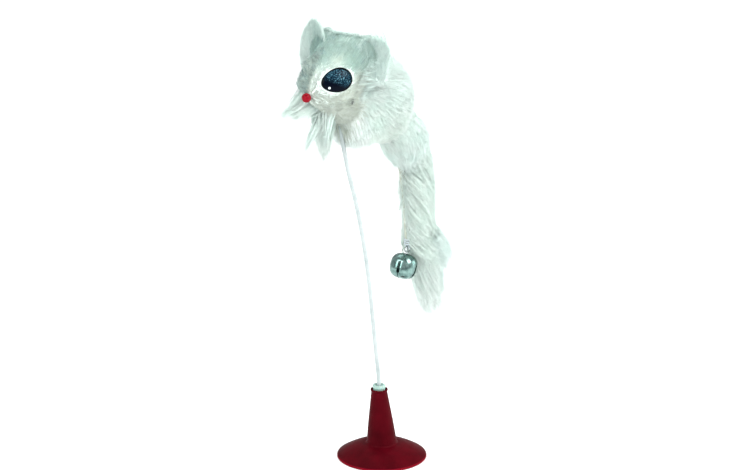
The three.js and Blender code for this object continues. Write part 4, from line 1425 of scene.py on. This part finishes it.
def make_strip():
    cut = (tail_heights[1] + tail_heights[2]) / 2
    middle = strip_line.reaching(cut)
    spans = [("strip_upper", 0.0, middle, 0.0, 0.5, 0, ["tail_strip_1"]),
             ("strip_lower", middle, 1.0, 0.5, 1.5, 1, ["tail_strip_2", "tail_strip_3"])]
    for name, start, end, turn_from, turn_to, part, replaced in spans:
        points, faces = ribbon(start, end, 50, turn_from, turn_to)
        piece = new_piece(name, points, outward(points, faces), LEATHER, 60)
        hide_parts(*replaced)
        height = tail_heights[part + 1]
        low = strip_line.point(strip_line.reaching(height + 10))
        high = strip_line.point(strip_line.reaching(height - 8))
        world(low)
        world(high)
        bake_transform(piece)


# ---------------------------------------------------------------- bell

BELL_PIVOT = joint_at("bell_swing")
BELL_TILT = 0.41
BELL_HANG = 8.1
BELL_RADIUS, BELL_HALF_HEIGHT, BELL_WALL = 6.4, 6.0, 0.5
SLOT_TURN = math.radians(17)
SLOT_HALF_WIDTH, SLOT_LOW, SLOT_HIGH = 0.72, -3.8, 1.9
SEAM_HALF_WIDTH, SEAM_LOW, SEAM_HIGH = 0.15, -8, -2.9
CUT_REACH = 8
TIE_RADIUS, TIE_WRAPS = 0.32, 3.0


def bell_place(points):
    """From the bell's own axes, with its origin in its middle, to the toy's."""
    c, s = math.cos(BELL_TILT), math.sin(BELL_TILT)
    turn = np.array([[c, 0, s], [0, 1, 0], [-s, 0, c]])
    centre = BELL_PIVOT + turn @ np.array([0, 0, -BELL_HANG])
    return np.asarray(points, float) @ turn.T + centre


def superball(radius, half_height, rows, columns, pinch):
    """A ball slightly squared in section, pinched in where the petals meet."""
    points = []
    for row in range(rows):
        angle = -math.pi / 2 + math.pi * (row + 0.02) / (rows - 0.96)
        across = max(0.0, math.cos(angle)) ** 0.74
        high = math.copysign(abs(math.sin(angle)) ** 0.80, math.sin(angle))
        for column in range(columns):
            turn = 2 * math.pi * column / columns
            dip = pinch * abs(math.cos(2 * (turn - SLOT_TURN))) ** 6
            size = radius * across * (1 - dip * (0.4 + 0.6 * max(0, -math.sin(angle))))
            points.append((size * math.cos(turn), size * math.sin(turn), half_height * high))
    return np.array(points)


def applied(piece):
    """Bakes a piece's modifiers into its mesh."""
    depsgraph = bpy.context.evaluated_depsgraph_get()
    mesh = bpy.data.meshes.new_from_object(piece.evaluated_get(depsgraph), depsgraph=depsgraph)
    piece.modifiers.clear()
    piece.data = mesh
    return piece


def cutter(low, high, half_width, reach, rounded_ends):
    """A slot's outline pushed right through the bell, across its own X."""
    outline = []
    steps = 10
    if rounded_ends:
        for end, sign in ((high - half_width, 1), (low + half_width, -1)):
            for step in range(steps + 1):
                angle = math.pi * step / steps
                across = half_width * math.cos(angle) * sign
                outline.append((across, end + half_width * math.sin(angle) * sign))
    else:
        outline = [(-half_width, low), (half_width, low), (half_width, high), (-half_width, high)]
    count = len(outline)
    points = [(side * reach, y, z) for side in (-1, 1) for y, z in outline]
    faces = [tuple(range(count)), tuple(range(count, 2 * count))]
    faces += [(i, (i + 1) % count, (i + 1) % count + count, i + count) for i in range(count)]
    return np.array(points, float), faces


def make_bell():
    rows, columns = 40, 96
    outer = superball(BELL_RADIUS, BELL_HALF_HEIGHT, rows, columns, 0.05)
    inner = superball(BELL_RADIUS - BELL_WALL, BELL_HALF_HEIGHT - BELL_WALL, rows, columns, 0.05)
    faces = outward(outer, capped_grid(rows, columns))
    lining = outward(inner, capped_grid(rows, columns))
    faces += [tuple(i + len(outer) for i in face[::-1]) for face in lining]
    shell_piece = new_piece("bell", bell_place(np.concatenate([outer, inner])), faces, NICKEL, 40)
    for quarter in (0, 1):
        turn = SLOT_TURN + quarter * math.pi / 2
        c, s = math.cos(turn), math.sin(turn)
        matrix = np.array([[c, -s, 0], [s, c, 0], [0, 0, 1]])
        cuts = [cutter(SLOT_LOW, SLOT_HIGH, SLOT_HALF_WIDTH, CUT_REACH, True),
                cutter(SEAM_LOW, SEAM_HIGH, SEAM_HALF_WIDTH, CUT_REACH, False)]
        for i, (points, cut_faces) in enumerate(cuts):
            knife = new_piece(f"knife_{quarter}_{i}", bell_place(points @ matrix.T),
                              outward(points, cut_faces), NICKEL)
            modifier = shell_piece.modifiers.new("cut", "BOOLEAN")
            modifier.object = knife
            modifier.operation = "DIFFERENCE"
            modifier.solver = "EXACT"
            applied(shell_piece)
            bpy.data.objects.remove(knife)
    shell_piece.data.shade_smooth()
    shell_piece.data.set_sharp_from_angle(angle=math.radians(32))
    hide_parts("bell_shell")
    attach(shell_piece, "bell")


def ring(radius, wire, steps, sides, place):
    points = []
    for step in range(steps):
        turn = 2 * math.pi * step / steps
        for k in range(sides):
            angle = 2 * math.pi * k / sides
            out = radius + wire * math.cos(angle)
            points.append(place(out * math.cos(turn), out * math.sin(turn), wire * math.sin(angle)))
    return np.array(points), grid_faces(steps, sides, closed_rows=True)


def make_bell_fittings():
    points, faces = ring(1.35, 0.4, 40, 16, lambda a, b, c: (a, c, b + BELL_HANG))
    shank_line = Line([(0, 0, 4.9), (0, 0, 5.6), (0, 0, BELL_HANG - 1.35)])
    shank, shank_faces = tube(shank_line, 0.4, 0, 1, 6, 16)
    pad_line = Line([(0, 0, 4.7), (0, 0, 4.9), (0, 0, 5.15)])
    pad, pad_faces = tube(pad_line, lambda t: 1.1 - 0.35 * abs(2 * t - 1) ** 3, 0, 1, 7, 24)
    groups = [(points, faces), (shank, shank_faces), (pad, pad_faces)]
    all_points, all_faces, offset = [], [], 0
    for part_points, part_faces in groups:
        made = outward(part_points, part_faces)
        all_points.append(part_points)
        all_faces += [tuple(i + offset for i in face) for face in made]
        offset += len(part_points)
    loop = new_piece("loop", bell_place(np.concatenate(all_points)), all_faces, STEEL_WIRE,
                     60)
    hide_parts("bell_loop")
    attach(loop, "bell")

    end = strip_line.points[-1]
    path = []
    for step in range(91):
        turn = 2 * math.pi * TIE_WRAPS * step / 90
        path.append(end + np.array([2.05 * math.cos(turn), 1.2 * math.sin(turn), 3.2 - 3.2 * step / 90]))
    low = BELL_PIVOT[2] + 0.62
    middle, reach = (low + end[2]) / 2, (end[2] - low) / 2
    for side in (-0.35, 0.35):
        for step in range(1, 48):
            turn = 2 * math.pi * step / 48
            path.append(np.array([(BELL_PIVOT[0] + end[0]) / 2 + side, 1.0 * math.sin(turn),
                                  middle + reach * math.cos(turn)]))
    points, faces = tube(Line(path, len(path) * 3), TIE_RADIUS, 0, 1, 420, 8, across=(0.3, 0.1, 1))
    tie = new_piece("tie", points, outward(points, faces), THREAD, 60)
    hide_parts("bell_tie")
    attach(tie, "tail_length_3")


# ---------------------------------------------------------------- carried CAD pieces


def dress(node, material):
    piece = frame["nodes"][node]
    piece.data.materials.clear()
    piece.data.materials.append(material)


for half in ("core_left", "core_right"):
    dress(half, CORE)
dress("bell_clapper", STEEL_BALL)


# ---------------------------------------------------------------- stage and light


def make_floor():
    shader = Shader("floor")
    cloud = shader.noise(60, 2)
    shader.colour(shader.ramp(cloud, [(0.3, (0.93, 0.935, 0.94)), (0.7, (0.95, 0.95, 0.955))]))
    shader.set(Roughness=0.9, Specular_IOR_Level=0.1)
    mesh = bpy.data.meshes.new("floor")
    size = 8
    corners = [(-size, -size, 0), (size, -size, 0), (size, size, 0), (-size, size, 0)]
    mesh.from_pydata(corners, [], [(0, 1, 2, 3)])
    mesh.materials.append(shader.material)
    floor = bpy.data.objects.new("floor", mesh)
    floor.location.z = -0.0002
    bpy.context.scene.collection.objects.link(floor)


def soft_light(name, place, target, size, power, colour):
    data = bpy.data.lights.new(name, "AREA")
    data.shape = "RECTANGLE"
    data.size, data.size_y = size
    data.energy = power
    data.color = colour
    light = bpy.data.objects.new(name, data)
    light.location = place
    direction = Vector(target) - Vector(place)
    light.rotation_euler = direction.to_track_quat("-Z", "Y").to_euler()
    bpy.context.scene.collection.objects.link(light)


def make_lights():
    target = (0, 0, 0.11)
    soft_light("key", (0.15, -1.15, 1.05), target, (0.8, 0.8), 22.5, (1.0, 0.99, 0.97))
    soft_light("right", (0.85, -0.7, 0.16), target, (0.7, 0.7), 6, (0.97, 1.0, 0.99))
    soft_light("fill", (-1.2, 0.15, 0.75), target, (0.9, 0.9), 14.5, (0.96, 0.99, 0.98))
    soft_light("top", (0.15, 0.35, 1.4), target, (1.1, 1.1), 7, (0.96, 1.0, 0.99))
    world_settings = bpy.data.worlds.new("studio")
    world_settings.use_nodes = True
    background = world_settings.node_tree.nodes["Background"]
    background.inputs["Color"].default_value = (0.97, 0.985, 1.0, 1)
    background.inputs["Strength"].default_value = 0.7
    bpy.context.scene.world = world_settings
    bpy.context.scene.view_settings.view_transform = "Standard"


make_cup()
make_plug()
make_stem()
mask_hide, pelt_hide = make_hide()
pelt_fur, mask_fur = make_hair()
declare_hides(mask_hide, pelt_hide, pelt_fur, mask_fur)
make_eye("left_eye", "eye_left", -1, eye_material("eye_plastic_left", -1))
make_eye("right_eye", "eye_right", 1, eye_material("eye_plastic_right", 1))
make_nose()
make_ear("ear_left", -1, 15.0, 8.4, 6.0, 0.8, 31)
make_ear("ear_right", 1, 18.8, 7.4, 2.4, 3.0, 37)
make_tail()
make_strip()
make_bell()
make_bell_fittings()
make_floor()
make_lights()
